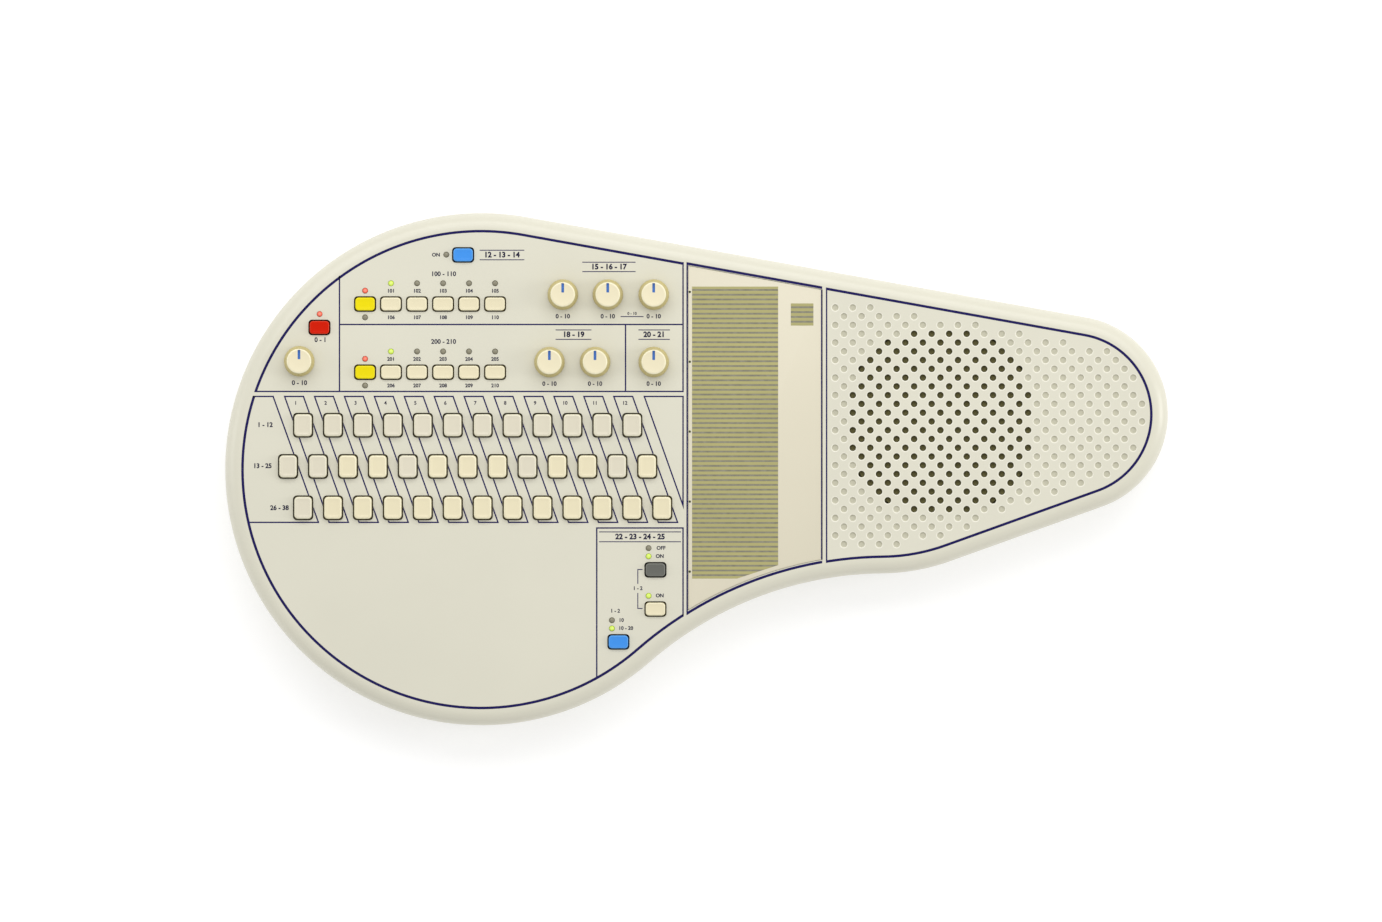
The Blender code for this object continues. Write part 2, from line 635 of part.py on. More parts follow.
def make_door(parts, cutters):
    """Make the battery door: a slice of the lower case on two side tongues, which slides out to -Y."""
    door = rear_solid("battery_door", parts, "back")
    combine(door, rear_hollow("door_inside", cutters), "DIFFERENCE", cutters)
    plate, edge = door_slices(DOOR_GAP, cutters, "door_slice")
    combine(plate, edge, "UNION", cutters)
    combine(door, plate, "INTERSECT", cutters)
    near, far = DOOR_LIP_Y - 0.5, BAY_FAR - DOOR_GAP - 0.1
    tongues = block("door_tongues", BAY_X, (far + near) / 2, 2 * (BAY_HALF + TONGUE_REACH - 0.2),
                    far - near, TONGUE_LOW, TONGUE_TOP, cutters)
    link = block("door_link", BAY_X, (far + near) / 2, 2 * (BAY_HALF - DOOR_GAP - 0.1),
                 far - near, FLOOR - 0.8, TONGUE_LOW + 0.4, cutters)
    combine(door, link, "UNION", cutters)
    combine(door, tongues, "UNION", cutters)
    return door


def make_board(parts, cutters):
    """Make the main board with its switches, potentiometers and lamps."""
    loop = clip(outline(BOARD_INSET), 0, BOARD_END, -1)
    board = slab("main_board", [loop], BOARD_LOW, BOARD_TOP, parts, "board")
    low = BOARD_TOP - 0.4
    spots = [p for row in CHORD_Y for p in chord_places(row)] + button_places()
    switches = slab("switches", [rectangle(x, y, 6.0, 6.0) for x, y in spots], low, SWITCH_TOP, cutters)
    rings = [ring(p, r, 8) for p in knob_places().values() for r in (POT_RADIUS, SHAFT_RADIUS + 0.6)]
    pots = slab("pots", rings, low, CEILING - 1.0, cutters)
    lamps = slab("lamps", [ring(p, LAMP_RADIUS, 6) for p in lamp_places()], low, LAMP_TOP, cutters)
    for extra in (switches, pots, lamps):
        combine(board, extra, "UNION", cutters)
    return board


def make_speaker(parts):
    """Make the loudspeaker that hangs under the grille."""
    high = FLANGE_TOP
    low = high - SPEAKER_DEPTH
    roll = SPEAKER_RADIUS - 6.5
    profile = [
        (0.0, low + DUST_CAP_HEIGHT), (DUST_CAP_RADIUS * 0.6, low + DUST_CAP_HEIGHT - DUST_CAP_RISE * 0.2),
        (DUST_CAP_RADIUS, low + DUST_CAP_HEIGHT - DUST_CAP_RISE), (roll - 6.0, high - 4.4),
        (roll - 3.0, high - 2.6), (roll, high - 2.6), (roll + 2.0, high), (SPEAKER_RADIUS, high),
        (SPEAKER_RADIUS, high - 2.0), (roll + 2.0, high - 2.0), (MAGNET_RADIUS, low + MAGNET_HEIGHT),
        (MAGNET_RADIUS, low), (0.0, low),
    ]
    speaker = turned("speaker", profile, 24, parts, "cone")
    speaker.location = (SPEAKER_CENTRE[0] * MM, SPEAKER_CENTRE[1] * MM, 0.0)
    return speaker


def main():
    """Build the whole instrument."""
    clear_scene()
    parts = make_collection("electronic_autoharp")
    cutters = make_collection("cutters")
    carrier = bpy.data.objects.new("case_origin", None)
    parts.objects.link(carrier)
    pieces = [make_front(parts, cutters), make_rear(parts, cutters), make_door(parts, cutters),
              make_plate(parts), make_board(parts, cutters), make_speaker(parts)]
    for piece in pieces:
        piece.parent = carrier
    make_knobs(parts, cutters, carrier)
    make_caps(parts, cutters, carrier)


main()
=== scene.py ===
"""Electronic autoharp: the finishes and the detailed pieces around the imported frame.

Plan measurements are millimetres from the middle of the instrument, +X to the tip of the neck, +Y to the far edge
and +Z up to the player. A mesh is shaped in millimetres and brought to metres when its piece is placed.
"""

import logging
import math
from collections.abc import Callable, Iterable, Sequence
from dataclasses import dataclass, field
from enum import Enum

import bmesh
import bpy
from mathutils import Matrix, Vector

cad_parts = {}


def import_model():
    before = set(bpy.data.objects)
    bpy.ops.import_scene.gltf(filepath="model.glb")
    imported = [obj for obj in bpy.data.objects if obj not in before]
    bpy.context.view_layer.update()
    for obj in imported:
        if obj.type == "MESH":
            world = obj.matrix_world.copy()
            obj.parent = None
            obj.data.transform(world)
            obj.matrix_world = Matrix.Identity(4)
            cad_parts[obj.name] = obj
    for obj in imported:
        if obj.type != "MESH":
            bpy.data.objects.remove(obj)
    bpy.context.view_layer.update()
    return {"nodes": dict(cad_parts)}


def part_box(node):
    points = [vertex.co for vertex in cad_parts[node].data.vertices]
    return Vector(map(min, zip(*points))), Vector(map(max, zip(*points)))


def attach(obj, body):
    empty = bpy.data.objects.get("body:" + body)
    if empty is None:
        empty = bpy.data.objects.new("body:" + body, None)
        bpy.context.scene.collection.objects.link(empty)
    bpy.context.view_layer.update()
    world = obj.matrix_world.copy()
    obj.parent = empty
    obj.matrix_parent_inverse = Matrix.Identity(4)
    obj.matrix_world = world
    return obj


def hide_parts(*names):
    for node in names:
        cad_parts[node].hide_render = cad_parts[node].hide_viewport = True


LOG = logging.getLogger("autoharp")

MM = 0.001
STUDIO_GAIN = 1.17

Point = tuple[float, float]
Colour = tuple[int, int, int]
Label = tuple[str, float, float, float, float]

# Heights shared by the pieces
FOOT_HEIGHT = 3.5
SPLIT = 27.0
SEAM = 0.3
PANEL_TOP = 50.0
CEILING = 47.4
INK_HEIGHT = 0.05
INK_FOOT = 0.02
DIGIT_SHARE = 0.73

# Room kept inside a rounding, and places for the coats of a mesh under work
FLAT_MARGIN = 0.5
COATS = 4

# How far apart two heights, two ends of the outline and two doubles may lie
LEVEL_SLACK = 1e-3
OUTLINE_SLACK = 0.05
DOUBLE_SLACK = 0.0005

# Where nearly all of a noise's values lie
NOISE_RANGE = (0.3, 0.7)


def polar(centre: Point, radius: float, angle: float) -> Point:
    """Return the point at an angle on a circle.

    Args:
        centre: Middle of the circle.
        radius: Radius of the circle.
        angle: Angle from +X, in radians.

    Returns:
        The point in the plan.
    """
    return centre[0] + radius * math.cos(angle), centre[1] + radius * math.sin(angle)


def linear(colour: Colour) -> tuple[float, float, float, float]:
    """Turn a colour as a level face shows it in the studio into the linear colour that a shader takes.

    Args:
        colour: Red, green and blue from 0 to 255.

    Returns:
        Linear red, green and blue, with an alpha of 1.
    """
    parts = [c / 255.0 for c in colour]
    red, green, blue = ((p / 12.92 if p <= 0.04045 else ((p + 0.055) / 1.055) ** 2.4) / STUDIO_GAIN for p in parts)
    return red, green, blue, 1.0


# ---------------------------------------------------------------------------------------------------------------
# Meshes
# ---------------------------------------------------------------------------------------------------------------


@dataclass(frozen=True)
class Arc:
    """One arc of the plan outline."""

    centre: Point
    radius: float
    start: float
    sweep: float


@dataclass(frozen=True)
class Plan:
    """The plan outline of the case: four circles, each tangent to the next, and the straight edges to the nose."""

    body_centre: Point = (-142.1, 0.0)
    body_radius: float = 169.2
    waist_radius: float = 237.9
    waist_start: float = math.radians(-48.9)
    waist_end: float = math.radians(90.63)
    hip_radius: float = 136.9
    nose_centre: Point = (246.6, 36.4)
    nose_radius: float = 64.8
    step: float = math.radians(1.6)

    @property
    def waist_centre(self) -> Point:
        """Return the middle of the hollow curve at the waist."""
        return polar(self.body_centre, self.body_radius + self.waist_radius, self.waist_start)

    @property
    def hip_centre(self) -> Point:
        """Return the middle of the curve between the waist and the neck."""
        return polar(self.waist_centre, self.waist_radius + self.hip_radius, self.waist_end)

    def edge_normal(self, centre: Point, radius: float, side: int) -> float:
        """Return the outward direction of the straight edge between a circle and the nose.

        Args:
            centre: Middle of the circle that the edge leaves.
            radius: Radius of that circle.
            side: +1 for the far edge, -1 for the near edge.

        Returns:
            The direction in radians.
        """
        gap = self.nose_centre[0] - centre[0], self.nose_centre[1] - centre[1]
        lean = math.asin((radius - self.nose_radius) / math.hypot(*gap))
        return math.atan2(gap[1], gap[0]) + side * (math.pi / 2 - lean)

    @property
    def far_normal(self) -> float:
        """Return the outward direction of the far edge."""
        return self.edge_normal(self.body_centre, self.body_radius, 1)

    @property
    def near_normal(self) -> float:
        """Return the outward direction of the neck's near edge."""
        return self.edge_normal(self.hip_centre, self.hip_radius, -1)

    def arcs(self, inset: float) -> list[Arc]:
        """Return the outline's arcs moved inward.

        Args:
            inset: How far in from the edge.

        Returns:
            The arcs, counterclockwise from the far side of the body.
        """
        far, near = self.far_normal, self.near_normal
        body_end = self.waist_start + 2 * math.pi
        waist_first, hip_first = self.waist_start + math.pi, self.waist_end - math.pi
        return [
            Arc(self.body_centre, self.body_radius - inset, far, body_end - far),
            Arc(self.waist_centre, self.waist_radius + inset, waist_first, self.waist_end - waist_first),
            Arc(self.hip_centre, self.hip_radius - inset, hip_first, near - hip_first),
            Arc(self.nose_centre, self.nose_radius - inset, near, far - near),
        ]

    def depth_in(self, point: Point) -> float:
        """Return how far a point of the neck lies inside the outline.

        Args:
            point: A point of the plan, right of the touch plate.

        Returns:
            The least distance to the far edge, the near edge, the hip and the nose.
        """
        far = Vector((math.cos(self.far_normal), math.sin(self.far_normal)))
        near = Vector((math.cos(self.near_normal), math.sin(self.near_normal)))
        body, hip, nose = Vector(self.body_centre), Vector(self.hip_centre), Vector(self.nose_centre)
        here = Vector(point)
        depths = [self.body_radius - (here - body).dot(far), self.hip_radius - (here - hip).dot(near)]
        depths.append((here - Vector(self.waist_centre)).length - self.waist_radius)
        turn = math.atan2(*(here - hip).yx)
        if self.waist_end - math.pi < turn < self.near_normal:
            depths.append(self.hip_radius - (here - hip).length)
        turn = math.atan2(*(here - nose).yx)
        if self.near_normal < turn < self.far_normal:
            depths.append(self.nose_radius - (here - nose).length)
        return min(depths)


PLAN = Plan()


class Cut(Enum):
    """What a Boolean does with the second mesh."""

    AWAY = "DIFFERENCE"
    JOIN = "UNION"
    KEEP = "INTERSECT"


class Blank:
    """A mesh under work, in millimetres, shaped with bmesh operators."""

    def __init__(self, mesh: bpy.types.Mesh | None = None) -> None:
        """Start empty, or from a mesh.

        Args:
            mesh: The mesh to start from.
        """
        self.bm = bmesh.new()
        if mesh is not None:
            self.bm.from_mesh(mesh)

    def paint(self, coat: int, test: Callable[[bmesh.types.BMFace], bool] = lambda face: True) -> "Blank":
        """Give the faces that pass a test a coat.

        Args:
            coat: Number of a material.
            test: Which faces get it.

        Returns:
            The blank itself.
        """
        for face in self.bm.faces:
            if test(face):
                face.material_index = coat
        return self

    def box(self, centre: Sequence[float], size: Sequence[float], turn: float = 0.0) -> "Blank":
        """Add a box.

        Args:
            centre: Its middle.
            size: Its width, depth and height.
            turn: Its angle about an upright axis, in radians.

        Returns:
            The blank itself.
        """
        place = Matrix.Translation(centre) @ Matrix.Rotation(turn, 4, "Z") @ Matrix.Diagonal((*size, 1.0))
        bmesh.ops.create_cube(self.bm, size=1.0, matrix=place)
        return self

    def bevel(self, edges: list[bmesh.types.BMEdge], offset: float, segments: int) -> None:
        """Round edges over.

        Args:
            edges: The edges.
            offset: How far the rounding reaches.
            segments: Its number of segments.
        """
        bmesh.ops.bevel(self.bm, geom=edges, offset=offset, segments=segments, profile=0.5, affect="EDGES",
                        material=-1, clamp_overlap=False)

    def edges_at(self, level: float) -> list[bmesh.types.BMEdge]:
        """Return the edges that lie at a height.

        Args:
            level: The height.

        Returns:
            The edges.
        """
        return [e for e in self.bm.edges if all(abs(v.co.z - level) < LEVEL_SLACK for v in e.verts)]

    def faces_at(self, level: float) -> list[bmesh.types.BMFace]:
        """Return the faces that lie at a height.

        Args:
            level: The height.

        Returns:
            The faces.
        """
        return [f for f in self.bm.faces if all(abs(v.co.z - level) < LEVEL_SLACK for v in f.verts)]

    def round_level(self, level: float, offset: float, segments: int) -> "Blank":
        """Round the rim that lies at a height.

        Args:
            level: The height.
            offset: How far the rounding reaches.
            segments: Its number of segments.

        Returns:
            The blank itself.
        """
        self.bevel(self.edges_at(level), offset, segments)
        return self

    def lathe(self, profile: Sequence[Point], steps: int, centre: Point = (0.0, 0.0), closed: bool = False) -> "Blank":
        """Turn a profile about an upright axis.

        Args:
            profile: Pairs of radius and height.
            steps: Number of steps in the turn.
            centre: Place of the axis.
            closed: Whether the profile is a loop, as of a ring.

        Returns:
            The blank itself.
        """
        verts = [self.bm.verts.new((centre[0] + r, centre[1], z)) for r, z in profile]
        pairs = list(zip(verts, verts[1:])) + ([(verts[-1], verts[0])] if closed else [])
        edges = [self.bm.edges.new(pair) for pair in pairs]
        bmesh.ops.spin(self.bm, geom=verts + edges, cent=(*centre, 0.0), axis=(0.0, 0.0, 1.0),
                       angle=2 * math.pi, steps=steps, use_merge=True)
        return self

    def pad(self, size: Point, low: float, high: float, corner: float, edge: float = 0.0, draft: float = 0.0,
            steps: int = 5) -> "Blank":
        """Make an upright block with rounded corners, leaning sides and a rounded top edge.

        Args:
            size: Width and depth at the foot.
            low: Height of the foot.
            high: Height of the top.
            corner: Radius of the upright corners.
            edge: Radius of the top edge.
            draft: How far the sides lean in on their way up, on each side.
            steps: Segments of each rounding.

        Returns:
            The blank itself.
        """
        self.box((0.0, 0.0, (low + high) / 2), (*size, high - low))
        uprights = [e for e in self.bm.edges if abs(e.verts[0].co.z - e.verts[1].co.z) > LEVEL_SLACK]
        self.bevel(uprights, corner, steps)
        top = [v for v in self.bm.verts if v.co.z > high - LEVEL_SLACK]
        bmesh.ops.scale(self.bm, verts=top, vec=(1 - 2 * draft / size[0], 1 - 2 * draft / size[1], 1.0))
        if edge:
            self.round_level(high, edge, steps)
        return self

    def outline(self, inset: float, level: float) -> bmesh.types.BMFace:
        """Lay the plan outline down as one flat face, in an empty blank.

        Args:
            inset: How far in from the edge.
            level: Its height.

        Returns:
            The face.
        """
        ends = []
        for arc in PLAN.arcs(inset):
            first = self.bm.verts.new((*polar(arc.centre, arc.radius, arc.start), level))
            made = bmesh.ops.spin(self.bm, geom=[first], cent=(*arc.centre, level), axis=(0.0, 0.0, 1.0),
                                  angle=arc.sweep, steps=max(3, round(abs(arc.sweep) / PLAN.step)))
            last = next(v for v in made["geom_last"] if isinstance(v, bmesh.types.BMVert))
            ends.append((first, last))
        for (_, last), (first, _) in zip(ends, ends[1:] + ends[:1]):
            if (last.co - first.co).length > OUTLINE_SLACK:
                self.bm.edges.new((last, first))
        bmesh.ops.remove_doubles(self.bm, verts=self.bm.verts, dist=OUTLINE_SLACK)
        return bmesh.ops.contextual_create(self.bm, geom=self.bm.edges[:])["faces"][0]

    def polygon(self, points: Sequence[Point], level: float) -> bmesh.types.BMFace:
        """Lay a flat face down from a few corners.

        Args:
            points: The corners, in order.
            level: Its height.

        Returns:
            The face.
        """
        verts = [self.bm.verts.new((x, y, level)) for x, y in points]
        return bmesh.ops.contextual_create(self.bm, geom=verts)["faces"][0]

    def lift(self, height: float) -> "Blank":
        """Raise the flat faces of the blank into solids.

        Args:
            height: How high they get.

        Returns:
            The blank itself.
        """
        made = bmesh.ops.extrude_face_region(self.bm, geom=self.bm.faces[:])
        verts = [v for v in made["geom"] if isinstance(v, bmesh.types.BMVert)]
        bmesh.ops.translate(self.bm, verts=verts, vec=(0.0, 0.0, height))
        return self

    def trim(self, point: Point, away: Point) -> "Blank":
        """Cut off what lies beyond an upright plane.

        Args:
            point: A point on the plane.
            away: Direction of the side that goes.

        Returns:
            The blank itself.
        """
        bmesh.ops.bisect_plane(self.bm, geom=self.bm.verts[:] + self.bm.edges[:] + self.bm.faces[:], dist=1e-5,
                               plane_co=(*point, 0.0), plane_no=(*away, 0.0), clear_outer=True)
        return self

    def sink(self, face: bmesh.types.BMFace, inward: float, down: float) -> None:
        """Step a flat top face inward and down, with its corners kept in proportion.

        Args:
            face: The face.
            inward: How far its sides move in.
            down: How far it sinks.
        """
        bmesh.ops.inset_region(self.bm, faces=[face], thickness=0.0)
        middle = face.calc_center_median()
        width = max(v.co.x for v in face.verts) - middle.x
        depth = max(v.co.y for v in face.verts) - middle.y
        bmesh.ops.scale(self.bm, verts=face.verts, vec=(1 - inward / width, 1 - inward / depth, 1.0),
                        space=Matrix.Translation(-middle))
        bmesh.ops.translate(self.bm, verts=face.verts, vec=(0.0, 0.0, -down))

    def drop(self, faces: list[bmesh.types.BMFace]) -> "Blank":
        """Delete faces.

        Args:
            faces: The faces.

        Returns:
            The blank itself.
        """
        bmesh.ops.delete(self.bm, geom=faces, context="FACES")
        return self

    def add(self, other: "Blank", places: Iterable[Sequence[float]] = ((0.0, 0.0, 0.0),),
            turn: Matrix | None = None) -> "Blank":
        """Copy another blank in at a number of places.

        Args:
            other: What is copied.
            places: Where its copies go, in the plan or in space.
            turn: How every copy is turned first.

        Returns:
            The blank itself.
        """
        mesh = bpy.data.meshes.new("copy")
        for place in places:
            other.bm.to_mesh(mesh)
            mesh.transform(Matrix.Translation((*place, 0.0)[:3]) @ (turn or Matrix.Identity(4)))
            self.bm.from_mesh(mesh)
        bpy.data.meshes.remove(mesh)
        return self

    def ring(self, inset: float, width: float, low: float, high: float) -> "Blank":
        """Raise a band that follows the plan outline.

        Args:
            inset: How far in from the edge it starts.
            width: Its width.
            low: Height of its foot.
            high: Height of its top.

        Returns:
            The blank itself.
        """
        self.outline(inset, low)
        bmesh.ops.inset_region(self.bm, faces=self.bm.faces[:], thickness=width, use_even_offset=True,
                               use_boundary=True)
        return self.drop([max(self.bm.faces, key=lambda face: len(face.verts))]).lift(high - low)

    def coil(self, radius: float, wire: float, turns: int, rise: float) -> "Blank":
        """Wind a coil spring about the upright axis, from the origin up.

        Args:
            radius: Radius of the coil.
            wire: Radius of the wire.
            turns: Number of turns.
            rise: Height of the coil.

        Returns:
            The blank itself.
        """
        stand = Matrix.Translation((radius, 0.0, 0.0)) @ Matrix.Rotation(math.pi / 2, 4, "X")
        made = bmesh.ops.create_circle(self.bm, cap_ends=True, segments=6, radius=wire, matrix=stand)
        verts = made["verts"]
        edges = list({edge for vert in verts for edge in vert.link_edges})
        faces = list({face for vert in verts for face in vert.link_faces})
        steps = 14 * turns
        bmesh.ops.spin(self.bm, geom=verts + edges + faces, axis=(0.0, 0.0, 1.0), angle=2 * math.pi * turns,
                       steps=steps, dvec=(0.0, 0.0, rise / steps))
        return self

    def tidy(self) -> "Blank":
        """Merge doubles and turn the faces outward.

        Returns:
            The blank itself.
        """
        bmesh.ops.remove_doubles(self.bm, verts=self.bm.verts, dist=DOUBLE_SLACK)
        bmesh.ops.recalc_face_normals(self.bm, faces=self.bm.faces)
        return self

    def as_object(self, name: str) -> bpy.types.Object:
        """Put the mesh in a passing object with room for the coats of its faces.

        Args:
            name: Name of the object and its mesh.

        Returns:
            The object.
        """
        mesh = bpy.data.meshes.new(name)
        self.bm.to_mesh(mesh)
        for _ in range(COATS):
            mesh.materials.append(None)
        obj = bpy.data.objects.new(name, mesh)
        bpy.context.scene.collection.objects.link(obj)
        return obj

    def carve(self, tool: "Blank", cut: Cut) -> "Blank":
        """Cut, join or trim the mesh with another.

        Args:
            tool: The other mesh.
            cut: What is done with it.

        Returns:
            The blank itself.
        """
        stock, cutter = self.tidy().as_object("stock"), tool.tidy().as_object("cutter")
        modifier = stock.modifiers.new("Cut", "BOOLEAN")
        modifier.operation, modifier.solver, modifier.object = cut.value, "MANIFOLD", cutter
        self.take(stock)
        remove(cutter)
        return self

    def thicken(self, wall: float) -> "Blank":
        """Give an open surface a wall on its inner side.

        Args:
            wall: Its thickness.

        Returns:
            The blank itself.
        """
        stock = self.as_object("stock")
        modifier = stock.modifiers.new("Wall", "SOLIDIFY")
        modifier.thickness, modifier.offset = wall, -1.0
        modifier.use_even_offset = modifier.use_quality_normals = True
        self.take(stock)
        return self

    def take(self, stock: bpy.types.Object) -> None:
        """Take a passing object's finished shape over and remove the object.

        Args:
            stock: The object.
        """
        mesh = bpy.data.meshes.new_from_object(stock.evaluated_get(bpy.context.evaluated_depsgraph_get()))
        self.bm.clear()
        self.bm.from_mesh(mesh)
        bpy.data.meshes.remove(mesh)
        remove(stock)


def remove(obj: bpy.types.Object) -> None:
    """Remove a passing object with its mesh.

    Args:
        obj: The object.
    """
    mesh = obj.data
    bpy.data.objects.remove(obj, do_unlink=True)
    bpy.data.meshes.remove(mesh)


@dataclass
class Piece:
    """A finished mesh on its way to its place on the instrument."""

    name: str
    blank: Blank
    coats: Sequence[bpy.types.Material]
    slot: str = "case"
    body: str = "case"
    stands_for: tuple[str, ...] = ()
    crease: float = 30.0

    def place(self) -> bpy.types.Object:
        """Bring the mesh to metres, dress it and let it ride on its body.

        Returns:
            The object.
        """
        bm = self.blank.tidy().bm
        bmesh.ops.scale(bm, verts=bm.verts, vec=(MM, MM, MM))
        mesh = bpy.data.meshes.new(self.name)
        bm.to_mesh(mesh)
        bm.free()
        for coat in self.coats:
            mesh.materials.append(coat)
        mesh.shade_smooth()
        mesh.set_sharp_from_angle(angle=math.radians(self.crease))
        obj = bpy.data.objects.new(self.name, mesh)
        bpy.context.scene.collection.objects.link(obj)
        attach(obj, self.body)
        if self.stands_for:
            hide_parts(*self.stands_for)
        LOG.info("%s: %d faces on %s", self.name, len(mesh.polygons), self.body)
        return obj


# ---------------------------------------------------------------------------------------------------------------
# Finishes
# ---------------------------------------------------------------------------------------------------------------


class Recipe:
    """A material's nodes, added one by one in front of its shader."""

    def __init__(self, name: str) -> None:
        """Start from a principled shader and the object's own coordinates.

        Args:
            name: Name of the material.
        """
        self.material = bpy.data.materials.new(name)
        self.material.use_nodes = True
        self.tree = self.material.node_tree
        self.shader = self.tree.nodes["Principled BSDF"]
        self.place = self.add("ShaderNodeTexCoord").outputs["Object"]

    def add(self, kind: str, inputs: dict | None = None, **settings: object) -> bpy.types.Node:
        """Add a node.

        Args:
            kind: Type of the node.
            inputs: Values or sockets for its inputs, by name or number.
            **settings: Its own settings.

        Returns:
            The node.
        """
        node = self.tree.nodes.new(kind)
        for key, value in settings.items():
            setattr(node, key, value)
        for key, value in (inputs or {}).items():
            if isinstance(value, bpy.types.NodeSocket):
                self.tree.links.new(value, node.inputs[key])
            else:
                node.inputs[key].default_value = value
        return node

    def noise(self, scale: float, detail: float = 2.0,
              stretch: Sequence[float] = (1.0, 1.0, 1.0)) -> bpy.types.NodeSocket:
        """Add noise.

        Args:
            scale: Its scale, per metre.
            detail: Its levels of detail.
            stretch: How much faster it changes along each axis.

        Returns:
            The noise's value.
        """
        place = self.add("ShaderNodeMapping", {"Vector": self.place, "Scale": stretch}).outputs[0]
        return self.add("ShaderNodeTexNoise", {"Vector": place, "Scale": scale, "Detail": detail}).outputs[0]

    def spread(self, value: bpy.types.NodeSocket, low: float, high: float, first: float,
               last: float) -> bpy.types.NodeSocket:
        """Bring a value from one range to another, held at the ends.

        Args:
            value: The value.
            low: Start of its range.
            high: End of its range.
            first: What the start becomes.
            last: What the end becomes.

        Returns:
            The new value.
        """
        return self.add("ShaderNodeMapRange", {"Value": value, "From Min": low, "From Max": high, "To Min": first,
                                               "To Max": last}).outputs[0]

    def mix(self, factor: bpy.types.NodeSocket, first: object, second: object) -> bpy.types.NodeSocket:
        """Mix two colours, each a socket or a plain colour.

        Args:
            factor: Share of the second colour.
            first: The first colour.
            second: The second colour.

        Returns:
            The mixed colour.
        """
        return self.add("ShaderNodeMix", {0: factor, 6: first, 7: second}, data_type="RGBA").outputs[2]

    def rise(self) -> bpy.types.NodeSocket:
        """Return how far a face looks up, from 0 at a wall to 1 on the level."""
        normal = self.add("ShaderNodeNewGeometry").outputs["Normal"]
        return self.add("ShaderNodeSeparateXYZ", {0: normal}).outputs[2]

    def bump(self, height: bpy.types.NodeSocket, strength: float, distance: float) -> None:
        """Let a height stand out on the surface.

        Args:
            height: The height, from 0 to 1.
            strength: How strongly it shows.
            distance: Its depth in metres.
        """
        bump = self.add("ShaderNodeBump", {"Height": height, "Strength": strength, "Distance": distance})
        self.tree.links.new(bump.outputs[0], self.shader.inputs["Normal"])

    def feed(self, name: str, value: bpy.types.NodeSocket) -> None:
        """Link a value to an input of the shader.

        Args:
            name: Name of the input.
            value: The value.
        """
        self.tree.links.new(value, self.shader.inputs[name])

    def fix(self, **values: float) -> None:
        """Set inputs of the shader that are the same all over.

        Args:
            **values: The values, with _ for a space in the names of the inputs.
        """
        for name, value in values.items():
            self.shader.inputs[name.replace("_", " ")].default_value = value


def shade(colour: Colour, factor: float) -> tuple[float, float, float, float]:
    """Return a colour in linear values, made lighter or darker.

    Args:
        colour: Red, green and blue from 0 to 255.
        factor: How much lighter it gets.

    Returns:
        Linear red, green and blue, with an alpha of 1.
    """
    red, green, blue, alpha = linear(colour)
    return min(red * factor, 1.0), min(green * factor, 1.0), min(blue * factor, 1.0), alpha


@dataclass(frozen=True)
class Plastic:
    """Moulded plastic: a slow drift in its colour, fine specks, a spark-eroded grain, a painted highlight on its
    rounded edges and a painted shade low on its walls.

    The foot is the height, in millimetres, that the painted shade of the lower wall reaches up to.
    """

    name: str
    colour: Colour
    roughness: float = 0.45
    drift: float = 0.03
    grain: float = 0.12
    # edge: colour of a painted highlight on the rounded edges
    edge: Colour | None = None
    # wall: colour of a painted shade low on the walls, up to the foot
    wall: Colour | None = None
    specular: float = 0.5
    foot: float = 51.2

    def make(self) -> bpy.types.Material:
        """Build the material.

        Returns:
            The material.
        """
        recipe = Recipe(self.name)
        slow, fine = recipe.noise(14.0, 3.0), recipe.noise(1500.0, 2.0)
        colour = recipe.mix(recipe.spread(slow, *NOISE_RANGE, 0.0, 1.0), shade(self.colour, 1 - self.drift),
                            shade(self.colour, 1 + self.drift))
        speck = recipe.spread(recipe.noise(1300.0, 1.0), 0.62, 0.74, 0.0, 0.06)
        colour = recipe.mix(speck, colour, shade(self.colour, 0.8))
        rise = recipe.rise()
        # Painted highlight: faces that tilt a little from level, on the rounded edges, take the lighter edge colour
        if self.edge:
            edge_highlight = recipe.spread(rise, 0.86, 0.997, 1.0, 0.0)
            colour = recipe.mix(edge_highlight, colour, linear(self.edge))
        # Painted shade: below the foot the walls take the darker wall colour
        if self.wall:
            height = recipe.add("ShaderNodeSeparateXYZ", {0: recipe.place}).outputs[2]
            low = recipe.spread(height, self.foot * MM, (self.foot + 1.3) * MM, 1.0, 0.0)
            colour = recipe.mix(low, colour, linear(self.wall))
        recipe.feed("Base Color", colour)
        recipe.feed("Roughness", recipe.spread(recipe.noise(60.0, 4.0), *NOISE_RANGE, self.roughness - 0.02,
                                               self.roughness + 0.02))
        recipe.fix(Specular_IOR_Level=self.specular)
        recipe.bump(fine, self.grain, 0.00006)
        return recipe.material


@dataclass(frozen=True)
class Ink:
    """Screen printing: an even layer with soft mottling and a faint mesh grain."""

    name: str
    colour: Colour
    roughness: float = 0.5

    def make(self) -> bpy.types.Material:
        """Build the material.

        Returns:
            The material.
        """
        recipe = Recipe(self.name)
        tone = recipe.spread(recipe.noise(300.0, 3.0), *NOISE_RANGE, 0.0, 1.0)
        recipe.feed("Base Color", recipe.mix(tone, shade(self.colour, 0.85), shade(self.colour, 1.15)))
        recipe.feed("Roughness", recipe.spread(recipe.noise(900.0), *NOISE_RANGE, self.roughness - 0.08,
                                               self.roughness + 0.08))
        recipe.fix(Specular_IOR_Level=0.1)
        recipe.bump(recipe.noise(2600.0), 0.2, 0.00002)
        return recipe.material


